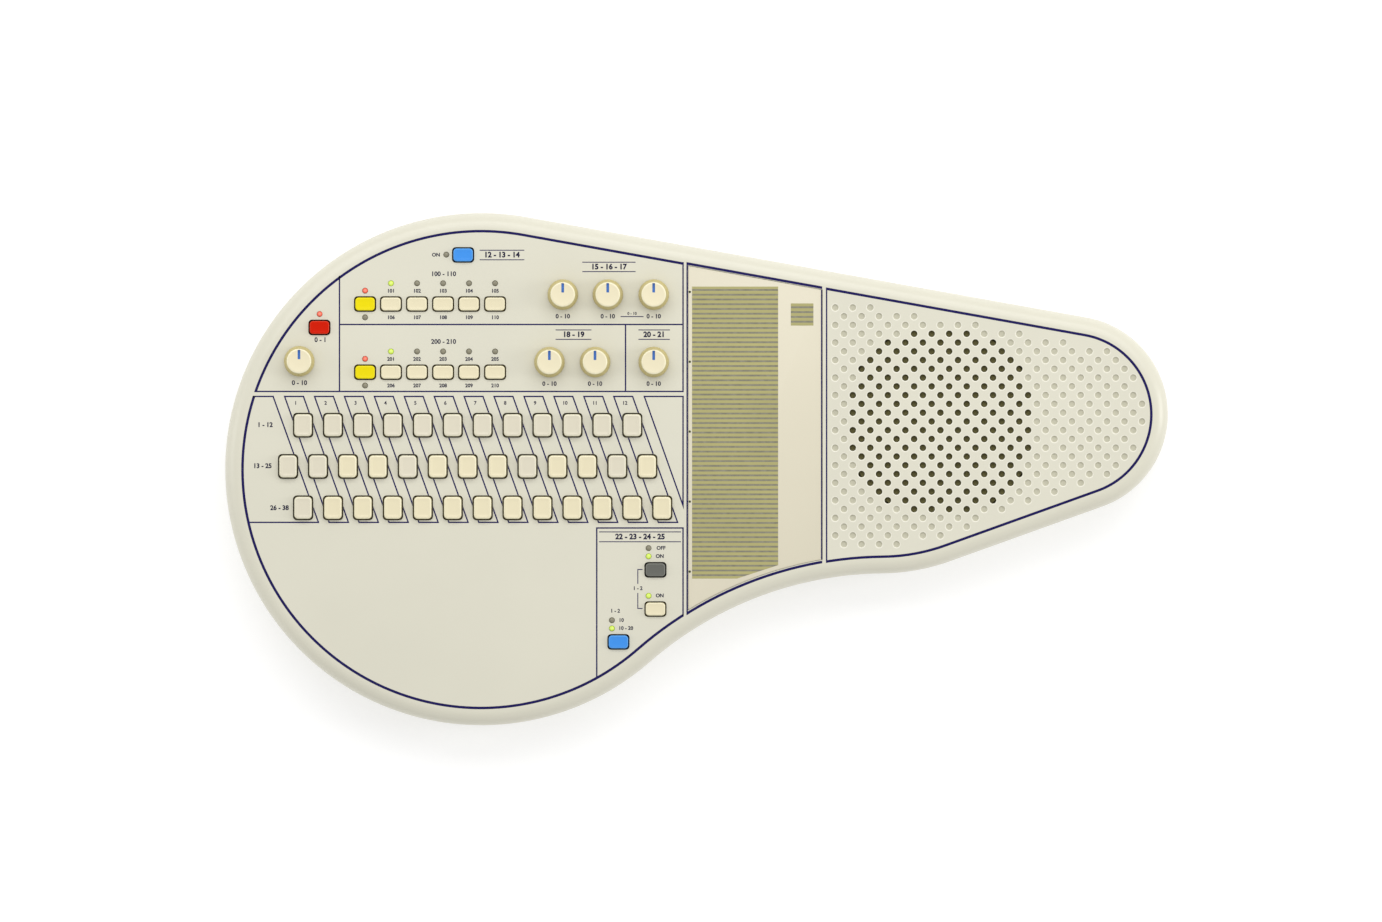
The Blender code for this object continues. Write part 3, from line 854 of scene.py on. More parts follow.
@dataclass(frozen=True)
class Foil:
    """Metallic print of the touch zones: a brushed sheen along the stripes and a worn middle."""

    name: str
    colour: Colour
    roughness: float = 0.42

    def make(self) -> bpy.types.Material:
        """Build the material.

        Returns:
            The material.
        """
        recipe = Recipe(self.name)
        brushed = recipe.noise(60.0, 3.0, (0.2, 30.0, 1.0))
        slow = recipe.spread(recipe.noise(18.0, 3.0), *NOISE_RANGE, 0.0, 1.0)
        colour = recipe.mix(slow, shade(self.colour, 0.94), shade(self.colour, 1.06))
        colour = recipe.mix(recipe.spread(brushed, 0.4, 0.7, 0.0, 0.25), colour, shade(self.colour, 1.25))
        recipe.feed("Base Color", colour)
        recipe.feed("Roughness", recipe.spread(brushed, 0.2, 0.8, self.roughness - 0.08, self.roughness + 0.1))
        recipe.fix(Metallic=0.15)
        recipe.bump(brushed, 0.15, 0.00002)
        return recipe.material


@dataclass(frozen=True)
class Lens:
    """Moulded lamp lens, lit or dark, with a paler middle: on a lit lens its brighter glow, on a dark lens a painted
    highlight.
    """

    name: str
    colour: Colour
    glow: float = 0.0

    def make(self) -> bpy.types.Material:
        """Build the material.

        Returns:
            The material.
        """
        recipe = Recipe(self.name)
        tone = recipe.spread(recipe.noise(900.0, 3.0), *NOISE_RANGE, 0.0, 1.0)
        colour = recipe.mix(tone, shade(self.colour, 0.9), shade(self.colour, 1.08))
        # Paler middle on the faces that look up: glow on the lit lenses, a painted highlight on the dark ones
        middle = recipe.spread(recipe.rise(), 0.85, 1.0, 0.0, 0.16 if self.glow else 0.04)
        colour = recipe.mix(middle, colour, (1.0, 1.0, 0.75, 1.0))
        recipe.feed("Base Color", colour)
        recipe.feed("Roughness", recipe.spread(tone, 0.0, 1.0, 0.3, 0.42))
        if self.glow:
            recipe.feed("Emission Color", colour)
            recipe.fix(Emission_Strength=self.glow)
        return recipe.material


@dataclass(frozen=True)
class Metal:
    """Plated or raw metal with fine scratches."""

    name: str
    colour: Colour
    roughness: float = 0.3

    def make(self) -> bpy.types.Material:
        """Build the material.

        Returns:
            The material.
        """
        recipe = Recipe(self.name)
        scratches = recipe.noise(180.0, 4.0, (1.0, 14.0, 1.0))
        tone = recipe.spread(recipe.noise(90.0, 3.0), *NOISE_RANGE, 0.0, 1.0)
        recipe.feed("Base Color", recipe.mix(tone, shade(self.colour, 0.85), shade(self.colour, 1.1)))
        recipe.feed("Roughness", recipe.spread(scratches, *NOISE_RANGE, self.roughness - 0.1, self.roughness + 0.15))
        recipe.fix(Metallic=1.0)
        recipe.bump(scratches, 0.15, 0.00003)
        return recipe.material


@dataclass(frozen=True)
class Fibre:
    """Pressed paper, rubber or laminate: a matt surface with a coarse grain."""

    name: str
    colour: Colour
    roughness: float = 0.85
    scale: float = 700.0
    depth: float = 0.0001

    def make(self) -> bpy.types.Material:
        """Build the material.

        Returns:
            The material.
        """
        recipe = Recipe(self.name)
        grain = recipe.noise(self.scale, 5.0)
        tone = recipe.spread(grain, *NOISE_RANGE, 0.0, 1.0)
        recipe.feed("Base Color", recipe.mix(tone, shade(self.colour, 0.7), shade(self.colour, 1.3)))
        rough = min(self.roughness + 0.1, 1.0)
        recipe.feed("Roughness", recipe.spread(grain, *NOISE_RANGE, self.roughness - 0.1, rough))
        recipe.bump(grain, 0.5, self.depth)
        return recipe.material


class Finishes:
    """Every finish of the instrument, made once."""

    def __init__(self) -> None:
        """Make the materials."""
        self.case = Plastic("case_ivory", (224, 221, 203), 0.31, 0.015).make()
        # Painted highlight: the lips round the grille's holes and dimples are lighter than the case
        self.lip = Plastic("grille_lip_highlight", (241, 238, 222), 0.4, 0.015).make()
        # Painted shade: the mouths and walls of the grille's through holes are dark olive
        self.hole = Plastic("grille_wall_shade", (90, 85, 48), 0.6, 0.05).make()
        # Painted shade: the walls of the openings for caps, buttons, knobs and lamps are darker and warmer than the
        # case
        self.opening = Plastic("opening_wall_shade", (170, 161, 122), 0.5, 0.03).make()
        # Painted shade: the dimples are darker than the case
        self.dimple = Plastic("grille_dimple_shade", (204, 201, 179), 0.5, 0.02).make()
        self.back = Plastic("back_ivory", (216, 212, 193), 0.5, 0.01, 0.4).make()
        # Caps, buttons and knobs: the lighter edge colour is a painted highlight, the darker wall colour a painted
        # shade low on the walls
        self.cream = Plastic("cap_cream", (236, 226, 191), 0.35, 0.015, 0.06, (253, 246, 211), (128, 112, 56)).make()
        self.grey = Plastic("cap_grey", (225, 218, 196), 0.35, 0.015, 0.06, (243, 238, 212), (116, 106, 68)).make()
        self.yellow = Plastic("cap_yellow", (240, 222, 8), 0.3, 0.02, 0.05, (250, 236, 40), (110, 86, 4), 0.12,
                              50.6).make()
        self.red = Plastic("cap_red", (209, 28, 0), 0.3, 0.02, 0.05, (226, 60, 34), (84, 8, 4), 0.08, 50.6).make()
        self.blue = Plastic("cap_blue", (68, 150, 238), 0.3, 0.02, 0.05, (104, 176, 245), (16, 38, 88), 0.15,
                            50.6).make()
        self.dark = Plastic("cap_dark", (106, 107, 101), 0.35, 0.02, 0.05, (136, 137, 130), (28, 28, 25), 0.15,
                            50.6).make()
        self.button = Plastic("button_cream", (236, 226, 191), 0.35, 0.015, 0.06, (253, 246, 211), (128, 112, 56),
                              0.5, 50.6).make()
        self.knob = Plastic("knob_ivory", (239, 229, 195), 0.35, 0.015, 0.06, (253, 247, 215), (206, 190, 118), 0.5,
                            59.3).make()
        self.pointer = Ink("pointer_blue", (76, 122, 196), 0.4).make()
        self.plate = Plastic("plate_cream", (226, 219, 196), 0.38, 0.012, 0.05).make()
        self.ink = Ink("navy_ink", (28, 24, 86)).make()
        self.label = Ink("label_ink", (26, 24, 58)).make()
        self.mark = Ink("mark_ink", (64, 72, 40), 0.45).make()
        self.gold = Foil("stripe_gold", (177, 171, 113)).make()
        self.line = Ink("stripe_grey", (141, 138, 121), 0.45).make()
        self.green_lamp = Lens("lamp_green", (200, 228, 66), 0.22).make()
        self.red_lamp = Lens("lamp_red", (238, 88, 62), 0.16).make()
        self.dark_lamp = Lens("lamp_dark", (134, 129, 108)).make()
        self.rubber = Fibre("foot_rubber", (46, 45, 42), 0.8, 500.0).make()
        self.steel = Metal("screw_steel", (190, 190, 186), 0.32).make()
        self.foil = Foil("plate_foil", (196, 196, 190), 0.36).make()
        self.nickel = Metal("contact_nickel", (205, 200, 180), 0.28).make()
        self.black = Plastic("socket_black", (34, 34, 33), 0.45, 0.05, 0.2).make()
        self.cone = Fibre("cone_paper", (58, 56, 42), 0.9, 900.0).make()
        self.cloth = Fibre("dust_cloth", (132, 126, 80), 0.95, 1400.0).make()
        self.laminate = Fibre("board_laminate", (150, 118, 62), 0.6, 250.0, 0.00004).make()


# ---------------------------------------------------------------------------------------------------------------
# Places that several pieces share
# ---------------------------------------------------------------------------------------------------------------


def middle_of(node: str) -> Point:
    """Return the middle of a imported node.

    Args:
        node: Its name.

    Returns:
        The middle in the plan, in millimetres.
    """
    low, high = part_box(node)
    return (low.x + high.x) / 2 / MM, (low.y + high.y) / 2 / MM


@dataclass
class Layout:
    """Where the controls stand on the panel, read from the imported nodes."""

    chords: dict[str, Point]
    buttons: dict[str, Point]
    selectors: dict[str, tuple[float, ...]]
    knobs: dict[str, Point]
    chord_size: Point = (12.6, 15.6)
    button_size: Point = (13.8, 9.5)
    gap: float = 0.4
    chord_corner: float = 2.6
    button_corner: float = 2.4
    selector_offsets: tuple[float, ...] = (-34.36, -17.16, 0.04, 17.14, 34.34)

    @classmethod
    def read(cls, nodes: Iterable[str]) -> "Layout":
        """Read the layout.

        Args:
            nodes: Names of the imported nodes.

        Returns:
            The layout.
        """
        names = sorted(nodes)
        return cls(
            {n: middle_of(n) for n in names if n.startswith("chord_")},
            {n: middle_of(n) for n in names if n.endswith("_button")},
            {n: middle_of(n) for n in names if n.endswith("_selector")},
            {n: middle_of(n) for n in names if n.startswith("knob_")},
        )

    def selector_spots(self) -> list[Point]:
        """Return the places of the caps on the selector strips."""
        return [(x + step, y) for x, y in self.selectors.values() for step in self.selector_offsets]

    def openings(self, low: float, high: float, grow: float = 0.0) -> Blank:
        """Return cutters for the openings of every cap and button.

        Args:
            low: Foot of the cutters.
            high: Top of the cutters.
            grow: Extra room on each side.

        Returns:
            The cutters.
        """
        room = 2 * (self.gap + grow)
        cutters = Blank()
        chord = Blank().pad((self.chord_size[0] + room, self.chord_size[1] + room), low, high, self.chord_corner)
        button = Blank().pad((self.button_size[0] + room, self.button_size[1] + room), low, high, self.button_corner)
        cutters.add(chord, self.chords.values())
        return cutters.add(button, [*self.buttons.values(), *self.selector_spots()])


@dataclass
class Grille:
    """The staggered grid of the neck: through holes over the loudspeaker, shallow dimples on the rest."""

    centre: Point = (161.0, 31.5)
    pitch: float = 11.57
    reach: float = 63.1
    left: float = 88.0
    margin: float = 17.7
    nose_margin: float = 16.6
    nose_x: float = 260.0
    hole_radius: float = 1.85
    mouth_radius: float = 2.2
    lip_radius: float = 2.8
    lip_depth: float = 0.2
    dimple_depth: float = 1.15
    rows: tuple[int, int] = (-16, 17)
    columns: tuple[int, int] = (-8, 14)

    def grid(self) -> list[Point]:
        """Return every point of the grid inside the printed outline."""
        points = []
        for row in range(*self.rows):
            y = self.centre[1] + row * self.pitch / 2
            for column in range(*self.columns):
                x = self.centre[0] + (column + (0.0 if row % 2 else 0.5)) * self.pitch
                margin = self.nose_margin if x > self.nose_x else self.margin
                if x > self.left and PLAN.depth_in((x, y)) >= margin:
                    points.append((x, y))
        return points

    def is_open(self, point: Point) -> bool:
        """Say whether a point of the grid has a through hole.

        Args:
            point: The point.

        Returns:
            Whether it lies over the loudspeaker.
        """
        return math.dist(point, self.centre) <= self.reach

    def cutters(self) -> Blank:
        """Return the cutters: coat 1 for the lips, with a painted highlight, 2 for the holes' mouths and walls and 3
        for the dimples, both with a painted shade.
        """
        lip, radius, mouth = PANEL_TOP - self.lip_depth, self.hole_radius, self.mouth_radius
        above, below = PANEL_TOP + 1.0, CEILING - 3.4
        head = [(0.0, above), (self.lip_radius, above), (self.lip_radius, PANEL_TOP), (mouth, lip)]
        hole = Blank().lathe([*head, (radius, lip - 1.2), (radius, below), (0.0, below)], 16)
        floor = PANEL_TOP - self.dimple_depth
        dimple = Blank().lathe([*head, (mouth - 0.2, floor + 0.35), (mouth - 0.7, floor + 0.08), (0.0, floor)], 14)
        # Painted light: the lips take the lighter coat 1, the rest of each hole and dimple a darker coat as shade
        for cutter, coat in ((hole, 2), (dimple, 3)):
            cutter.paint(coat).paint(1, lambda face: lip - 0.01 < face.calc_center_median().z < PANEL_TOP)
        grid = self.grid()
        cutters = Blank().add(hole, [p for p in grid if self.is_open(p)])
        return cutters.add(dimple, [p for p in grid if not self.is_open(p)])


SPEAKER_GRILLE = Grille()


def well(radius: float, low: float, high: float, steps: int = 20) -> Blank:
    """Return an upright disc or pin, also the cutter of a round hole.

    Args:
        radius: Its radius.
        low: Height of its foot.
        high: Height of its top.
        steps: Number of its sides.

    Returns:
        The disc.
    """
    return Blank().lathe([(0.0, high), (radius, high), (radius, low), (0.0, low)], steps)


def lettering(labels: Iterable[Label], level: float, turn: Matrix | None = None) -> Blank:
    """Return plain numbers as flat closed shapes.

    Args:
        labels: Text, x, y, height and weight of each.
        level: Height of their middle.
        turn: How each is turned first.

    Returns:
        The shapes.
    """
    blank = Blank()
    for text, x, y, height, weight in labels:
        curve = bpy.data.curves.new("number", "FONT")
        curve.body, curve.size = text, height / DIGIT_SHARE
        curve.align_x, curve.align_y = "CENTER", "CENTER"
        curve.extrude, curve.offset, curve.resolution_u = INK_HEIGHT / 2, weight, 3
        obj = bpy.data.objects.new("number", curve)
        bpy.context.scene.collection.objects.link(obj)
        mesh = bpy.data.meshes.new_from_object(obj.evaluated_get(bpy.context.evaluated_depsgraph_get()))
        mesh.transform(Matrix.Translation((x, y, level)) @ (turn or Matrix.Identity(4)))
        blank.bm.from_mesh(mesh)
        bpy.data.objects.remove(obj, do_unlink=True)
        bpy.data.curves.remove(curve)
        bpy.data.meshes.remove(mesh)
    return blank


@dataclass
class LampPlaces:
    """Where the indicator lamps stand, by state."""

    green: tuple[Point, ...] = ((-201.6, 122.7), (-201.6, 77.7), (-31.6, -57.5), (-31.6, -83.6), (-55.8, -105.1))
    red: tuple[Point, ...] = ((-218.7, 117.8), (-218.7, 72.8), (-248.7, 102.4))
    dark: tuple[Point, ...] = (
        (-184.4, 122.7), (-167.2, 122.7), (-150.1, 122.7), (-132.9, 122.7), (-184.4, 77.7), (-167.2, 77.7),
        (-150.1, 77.7), (-132.9, 77.7), (-218.7, 100.2), (-218.7, 55.2), (-165.1, 141.6), (-31.6, -52.1),
        (-55.8, -99.7),
    )

    def every(self) -> tuple[Point, ...]:
        """Return all the places."""
        return self.green + self.red + self.dark


LAMPS = LampPlaces()


# ---------------------------------------------------------------------------------------------------------------
# Sub-assemblies
# ---------------------------------------------------------------------------------------------------------------


@dataclass
class FrontCase:
    """The upper half of the case: a rounded shell with its openings, its grille and the touch plate's pocket."""

    layout: Layout
    wall: float = 2.6
    rim: float = 10.0
    rim_steps: int = 12
    shaft_radius: float = 4.0
    lamp_radius: float = 1.95
    pocket_floor: float = 48.4
    pocket_inset: float = 12.7
    pocket_ends: Point = (-5.65, 83.3)
    cut_heights: Point = (CEILING - 3.0, PANEL_TOP + 1.0)

    def shell(self) -> Blank:
        """Return the bare shell."""
        blank = Blank()
        blank.outline(0.0, SPLIT + SEAM)
        blank.lift(PANEL_TOP - SPLIT - SEAM).tidy()
        blank.round_level(PANEL_TOP, self.rim, self.rim_steps)
        top = blank.faces_at(PANEL_TOP)
        bmesh.ops.inset_region(blank.bm, faces=top, thickness=FLAT_MARGIN, use_even_offset=True)
        blank.drop(blank.faces_at(SPLIT + SEAM))
        return blank.thicken(self.wall)

    def pocket(self) -> Blank:
        """Return the cutter of the touch plate's pocket."""
        blank = Blank()
        blank.outline(self.pocket_inset, self.pocket_floor)
        blank.trim((self.pocket_ends[0], 0.0), (-1.0, 0.0)).trim((self.pocket_ends[1], 0.0), (1.0, 0.0))
        return blank.lift(4.0)

    def round_holes(self) -> Blank:
        """Return the cutters of the knob and lamp holes."""
        shaft, lamp = well(self.shaft_radius, *self.cut_heights, 24), well(self.lamp_radius, *self.cut_heights)
        return Blank().add(shaft, self.layout.knobs.values()).add(lamp, LAMPS.every())

    def build(self, finishes: Finishes) -> None:
        """Make and place the upper half.

        Args:
            finishes: The instrument's finishes.
        """
        shell = self.shell()
        cutters = self.layout.openings(*self.cut_heights).add(self.round_holes())
        # Coat 4 gives the walls of every cap, button, knob and lamp opening a painted shade
        cutters.paint(4).add(SPEAKER_GRILLE.cutters())
        shell.carve(cutters, Cut.AWAY).carve(self.pocket(), Cut.AWAY)
        coats = (finishes.case, finishes.lip, finishes.hole, finishes.dimple, finishes.opening)
        Piece("front_shell", shell, coats, "case", stands_for=("front_case",), crease=14.0).place()


@dataclass
class Printing:
    """The panel's printing: the contour, the section lines, the chord columns and plain numbers."""

    layout: Layout
    contour_inset: float = 11.0
    contour_width: float = 1.7
    line: float = 0.9
    thin: float = 0.56
    bars: tuple[tuple[float, float, float, float], ...] = (
        (-235.6, 127.2, -235.6, 51.3), (-291.2, 51.3, -8.85, 51.3), (-235.6, 95.5, -8.85, 95.5),
        (-46.8, 95.5, -46.8, 51.3), (-8.85, 136.2, -8.85, 51.3), (-292.3, 48.0, -279.4, 48.0),
        (-279.4, 48.0, -249.5, -35.1), (-295.8, -35.1, -249.5, -35.1), (-65.8, -38.8, -8.85, -38.8),
        (-65.8, -38.8, -65.8, -137.7), (-8.85, -38.8, -8.85, -96.3), (-6.15, 135.7, -6.15, -95.0),
        (85.9, 119.3, 85.9, -60.4),
    )
    thin_bars: tuple[tuple[float, float, float, float], ...] = (
        (-64.0, -41.4, -10.5, -41.4), (-64.0, -47.9, -10.5, -47.9), (-142.8, 144.5, -113.9, 144.5),
        (-142.8, 138.2, -113.9, 138.2), (-75.1, 136.6, -40.5, 136.6), (-75.1, 130.4, -40.5, 130.4),
        (-92.7, 91.9, -69.6, 91.9), (-92.7, 85.7, -69.6, 85.7), (-38.0, 91.9, -17.8, 91.9),
        (-38.0, 85.7, -17.8, 85.7), (-49.8, 100.7, -35.2, 100.7), (-38.7, -66.2, -38.7, -75.4),
        (-38.7, -82.0, -38.7, -91.9), (-38.7, -66.2, -35.9, -66.2), (-38.7, -91.9, -35.9, -91.9),
    )
    column: tuple[Point, ...] = ((-271.8, 48.0), (-259.4, 48.0), (-229.7, -35.1), (-242.4, -35.1))
    corner: tuple[Point, ...] = ((-34.4, 48.0), (-8.85, 48.0), (-8.85, -24.0))
    columns: int = 12
    first_column: Point = (-264.5, 43.6)
    pitch: float = 19.75
    step_up: float = 0.003
    over_button: float = 8.6
    under_button: float = 8.9
    under_knob: float = 14.4

    def contour(self) -> Blank:
        """Return the thick line that follows the edge, broken where the sections meet."""
        stretches = (
            (0.0, (-0.15, -0.25), [((-8.45, 0.0), (1.0, 0.0)), ((0.0, 50.9), (0.0, -1.0))]),
            (0.0, (-0.15, -0.25), [((-8.45, 0.0), (1.0, 0.0)), ((0.0, 48.4), (0.0, 1.0))]),
            (0.4, (0.0, -0.15), [((-6.55, 0.0), (-1.0, 0.0)), ((83.0, 0.0), (1.0, 0.0))]),
            (0.35, (0.3, -0.35), [((85.5, 0.0), (-1.0, 0.0))]),
        )
        whole = Blank()
        for outward, shift, planes in stretches:
            band = Blank()
            band.outline(self.contour_inset - outward, PANEL_TOP - INK_FOOT)
            bmesh.ops.translate(band.bm, verts=band.bm.verts, vec=(*shift, 0.0))
            bmesh.ops.inset_region(band.bm, faces=band.bm.faces[:], thickness=self.contour_width,
                                   use_even_offset=True, use_boundary=True)
            band.drop([max(band.bm.faces, key=lambda face: len(face.verts))])
            for point, away in planes:
                band.trim(point, away)
            whole.add(band)
        return whole.lift(INK_HEIGHT + INK_FOOT)

    def bar(self, ends: Sequence[float], width: float, level: float) -> Blank:
        """Return one straight line.

        Args:
            ends: x and y of both ends.
            width: Its width.
            level: Height of its top.

        Returns:
            The line.
        """
        first, last = Vector(ends[:2]), Vector(ends[2:])
        along = last - first
        centre = (first + last) / 2
        size = (along.length + width, width, level - PANEL_TOP + INK_FOOT)
        middle = (centre.x, centre.y, (level + PANEL_TOP - INK_FOOT) / 2)
        return Blank().box(middle, size, math.atan2(along.y, along.x))

    def frame(self, points: Sequence[Point]) -> Blank:
        """Return a closed line round a polygon.

        Args:
            points: Corners of the line's middle.

        Returns:
            The line.
        """
        blank = Blank()
        face = blank.polygon(points, PANEL_TOP - INK_FOOT)
        bmesh.ops.inset_individual(blank.bm, faces=[face], thickness=-self.line / 2, use_even_offset=True)
        blank.drop([f for f in blank.bm.faces if f != face])
        bmesh.ops.inset_individual(blank.bm, faces=[face], thickness=self.line, use_even_offset=True)
        blank.drop([face])
        return blank.lift(INK_HEIGHT + INK_FOOT)

    def lines(self) -> Blank:
        """Return all the section lines, each a little higher than the last one where they cross."""
        blank = Blank()
        for width, bars in ((self.line, self.bars), (self.thin, self.thin_bars)):
            for number, ends in enumerate(bars):
                blank.add(self.bar(ends, width, PANEL_TOP + INK_HEIGHT + self.step_up * (number % 5)))
        blank.add(self.frame(self.corner))
        return blank.add(self.frame(self.column), [(self.pitch * i, 0.0) for i in range(self.columns)])

    def labels(self) -> list[Label]:
        """Return the numbers: text, x, y, height and weight."""
        small, big, bold = (2.45, 0.11), (3.1, 0.12), (3.6, 0.2)
        tiny, row, scale, light = (1.9, 0.08), (3.1, 0.15), (2.9, 0.12), (2.45, 0.09)
        rows = [("100 - 110", -166.9, 128.8, *big), ("200 - 210", -166.9, 84.1, *big), ("0 - 1", -248.1, 85.3, *big),
                ("ON", -171.9, 141.4, *small), ("0 - 10", -262.0, 56.9, *big), ("12 - 13 - 14", -128.4, 141.4, *bold),
                ("15 - 16 - 17", -57.8, 133.5, *bold), ("18 - 19", -81.1, 88.8, *bold),
                ("20 - 21", -27.9, 88.8, *bold), ("22 - 23 - 24 - 25", -37.2, -44.65, *bold),
                ("0 - 10", -42.5, 102.7, *tiny), ("1 - 12", -284.7, 29.2, *row), ("13 - 25", -286.4, 2.1, *row),
                ("26 - 38", -275.2, -25.6, *row), ("OFF", -23.4, -52.1, *small), ("ON", -24.2, -57.5, *small),
                ("ON", -24.2, -83.5, *small), ("1 - 2", -38.7, -78.7, *small), ("1 - 2", -53.6, -93.6, *small),
                ("10", -49.6, -99.7, *small), ("10 - 20", -46.6, -105.0, *small)]
        for number, step in enumerate(self.layout.selector_offsets):
            for first, (x, y) in ((101, self.layout.selectors["voice_selector"]),
                                  (201, self.layout.selectors["pattern_selector"])):
                rows.append((str(first + number), x + step, y + self.over_button, *small))
                rows.append((str(first + number + 5), x + step, y - self.under_button, *small))
        for name, (x, y) in self.layout.knobs.items():
            if name != "knob_master_volume":
                rows.append(("0 - 10", x, y - self.under_knob, *scale))
        left, y = self.first_column
        return rows + [(str(i + 1), left + i * self.pitch, y, *light) for i in range(self.columns)]

    def build(self, finishes: Finishes) -> None:
        """Make and place the printing.

        Args:
            finishes: The instrument's finishes.
        """
        lines = self.lines().carve(self.layout.openings(PANEL_TOP - 1.0, PANEL_TOP + 1.0, 0.1), Cut.AWAY)
        Piece("contour_line", self.contour(), (finishes.ink,), "dark").place()
        Piece("section_lines", lines, (finishes.ink,), "dark").place()
        numbers = lettering(self.labels(), PANEL_TOP + INK_HEIGHT / 2 - 0.01)
        Piece("panel_numbers", numbers, (finishes.label,), "dark").place()


@dataclass
class ChordCaps:
    """The three rows of chord caps: leaning sides, rounded edges and a shallow dish, on a flange with a stem."""

    layout: Layout
    top: float = 54.0
    corner: float = 2.7
    edge: float = 0.9
    draft: float = 0.75
    dish: float = 0.28
    flange: tuple[float, float] = (45.2, 46.9)
    flange_grow: Point = (1.2, 2.4)
    stem: float = 4.0
    switch_top: float = 42.9
    colours: dict[str, str] = field(default_factory=lambda: {
        "chord_major": "gggggggggggg", "chord_minor": "ggccgcccgccgc", "chord_seventh": "gcccccccccccc"})

    def cap(self, size: Point, top: float, low: float, grow: Point) -> Blank:
        """Return one cap at the middle of the plan.

        Args:
            size: Width and depth.
            top: Height of its top.
            low: Foot of its stem.
            grow: How much wider and deeper the flange is.

        Returns:
            The cap.
        """
        cap = Blank().pad(size, self.flange[1] - 0.6, top, self.corner, self.edge, self.draft, 5)
        face = max(cap.faces_at(top), key=lambda f: f.calc_area())
        for inward, down in ((0.3, 0.0), (0.35, 0.3), (0.5, 0.4), (0.8, 0.25), (1.0, 0.05)):
            cap.sink(face, inward, self.dish * down)
        flange = Blank().pad((size[0] + grow[0], size[1] + grow[1]), *self.flange, 1.5, steps=3)
        stem = Blank().pad((self.stem, self.stem), low, self.flange[0] + 0.5, 0.5, steps=2)
        return cap.carve(flange, Cut.JOIN).carve(stem, Cut.JOIN)

    def build(self, finishes: Finishes) -> None:
        """Make and place the caps.

        Args:
            finishes: The instrument's finishes.
        """
        cap = self.cap(self.layout.chord_size, self.top, self.switch_top, self.flange_grow)
        coats = {"g": ("grey", finishes.grey), "c": ("cream", finishes.cream)}
        for name, place in self.layout.chords.items():
            row, number = name.rsplit("_", 1)
            slot, coat = coats[self.colours[row][int(number) - 1]]
            Piece(f"cap_{row[6:]}_{number}", Blank().add(cap, [place]), (coat,), slot, name, (name,), 24.0).place()


@dataclass
class Buttons:
    """The small buttons: seven single ones, and five selector caps on each of two strips."""

    layout: Layout
    caps: ChordCaps
    top: float = 52.3
    stem_low: float = 41.9
    grow: Point = (1.2, 1.2)
    slots: dict[str, str] = field(default_factory=lambda: {
        "voice_bank_button": "yellow", "pattern_bank_button": "yellow", "keyboard_button": "blue",
        "power_button": "red", "auto_button": "dark", "hold_button": "cream", "start_button": "blue"})

    def build(self, finishes: Finishes) -> None:
        """Make and place the buttons and the strips.

        Args:
            finishes: The instrument's finishes.
        """
        caps = ChordCaps(self.layout, corner=2.4, edge=0.6, draft=0.6, dish=0.2)
        shape = caps.cap(self.layout.button_size, self.top, self.stem_low, self.grow)
        for name, place in self.layout.buttons.items():
            slot = self.slots[name]
            coat = finishes.button if slot == "cream" else getattr(finishes, slot)
            Piece(f"cap_{name}", Blank().add(shape, [place]), (coat,), slot, name, (name,), 24.0).place()
        span = self.layout.selector_offsets[-1] - self.layout.selector_offsets[0]
        for name, (x, y) in self.layout.selectors.items():
            width, depth = self.layout.button_size
            strip = Blank().pad((width + self.grow[0] + span, depth + self.grow[1]), *self.caps.flange, 1.5, steps=3)
            single = Blank().add(shape, [(step, 0.0) for step in self.layout.selector_offsets])
            strip = Blank().add(single.carve(strip, Cut.JOIN), [(x, y)])
            Piece(f"strip_{name}", strip, (finishes.button,), "cream", name, (name,), 24.0).place()


@dataclass
class Knobs:
    """The seven knobs: a leaning skirt, a rounded edge, a dished top and a painted pointer groove."""

    layout: Layout
    top: float = 61.0
    skirt: float = 50.5
    radius: float = 10.05
    top_radius: float = 8.1
    shaft_radius: float = 3.0
    shaft_end: float = 42.6
    pointer: tuple[float, float, float] = (1.8, 1.3, 6.2)

    def shape(self) -> Blank:
        """Return one knob at the middle of the plan."""
        top, reach = self.top, self.top_radius
        profile = [(0.0, top - 0.35), (3.0, top - 0.31), (5.6, top - 0.2), (reach - 1.3, top - 0.03),
                   (reach - 1.0, top), (reach - 0.62, top - 0.06), (reach - 0.3, top - 0.24),
                   (reach - 0.08, top - 0.55), (reach, top - 0.95), (self.radius - 0.12, self.skirt + 0.7),
                   (self.radius, self.skirt + 0.35), (self.radius - 0.1, self.skirt), (8.3, self.skirt),
                   (8.2, self.skirt + 6.0), (4.2, self.skirt + 6.0), (4.2, self.skirt + 0.3),
                   (self.shaft_radius, self.skirt + 0.1), (self.shaft_radius, self.shaft_end), (0.0, self.shaft_end)]
        knob = Blank().lathe(profile, 64)
        width, start, length = self.pointer
        groove = Blank().pad((width, length), top - 0.75, top + 1.0, 0.35, steps=3).paint(1)
        return knob.carve(Blank().add(groove, [(0.0, start + length / 2)]), Cut.AWAY)

    def build(self, finishes: Finishes) -> None:
        """Make and place the knobs.

        Args:
            finishes: The instrument's finishes.
        """
        knob = self.shape()
        for name, place in self.layout.knobs.items():
            Piece(f"grip_{name[5:]}", Blank().add(knob, [place]), (finishes.knob, finishes.pointer), "knob", name,
                  (name,), 32.0).place()


@dataclass
class Lamps:
    """The indicator lamps: domed lenses in the panel, lit green, lit red or dark."""

    profile: tuple[Point, ...] = ((0.0, 50.9), (0.7, 50.84), (1.25, 50.64), (1.6, 50.36), (1.78, 49.9), (1.8, 48.5),
                                  (1.8, 46.5), (0.0, 46.5))

    def build(self, finishes: Finishes) -> None:
        """Make and place the lenses.

        Args:
            finishes: The instrument's finishes.
        """
        lens = Blank().lathe(self.profile, 20)
        for name, places, coat, slot in (("lamps_green", LAMPS.green, finishes.green_lamp, "yellow"),
                                         ("lamps_red", LAMPS.red, finishes.red_lamp, "red"),
                                         ("lamps_dark", LAMPS.dark, finishes.dark_lamp, "dark")):
            Piece(name, Blank().add(lens, places), (coat,), slot).place()


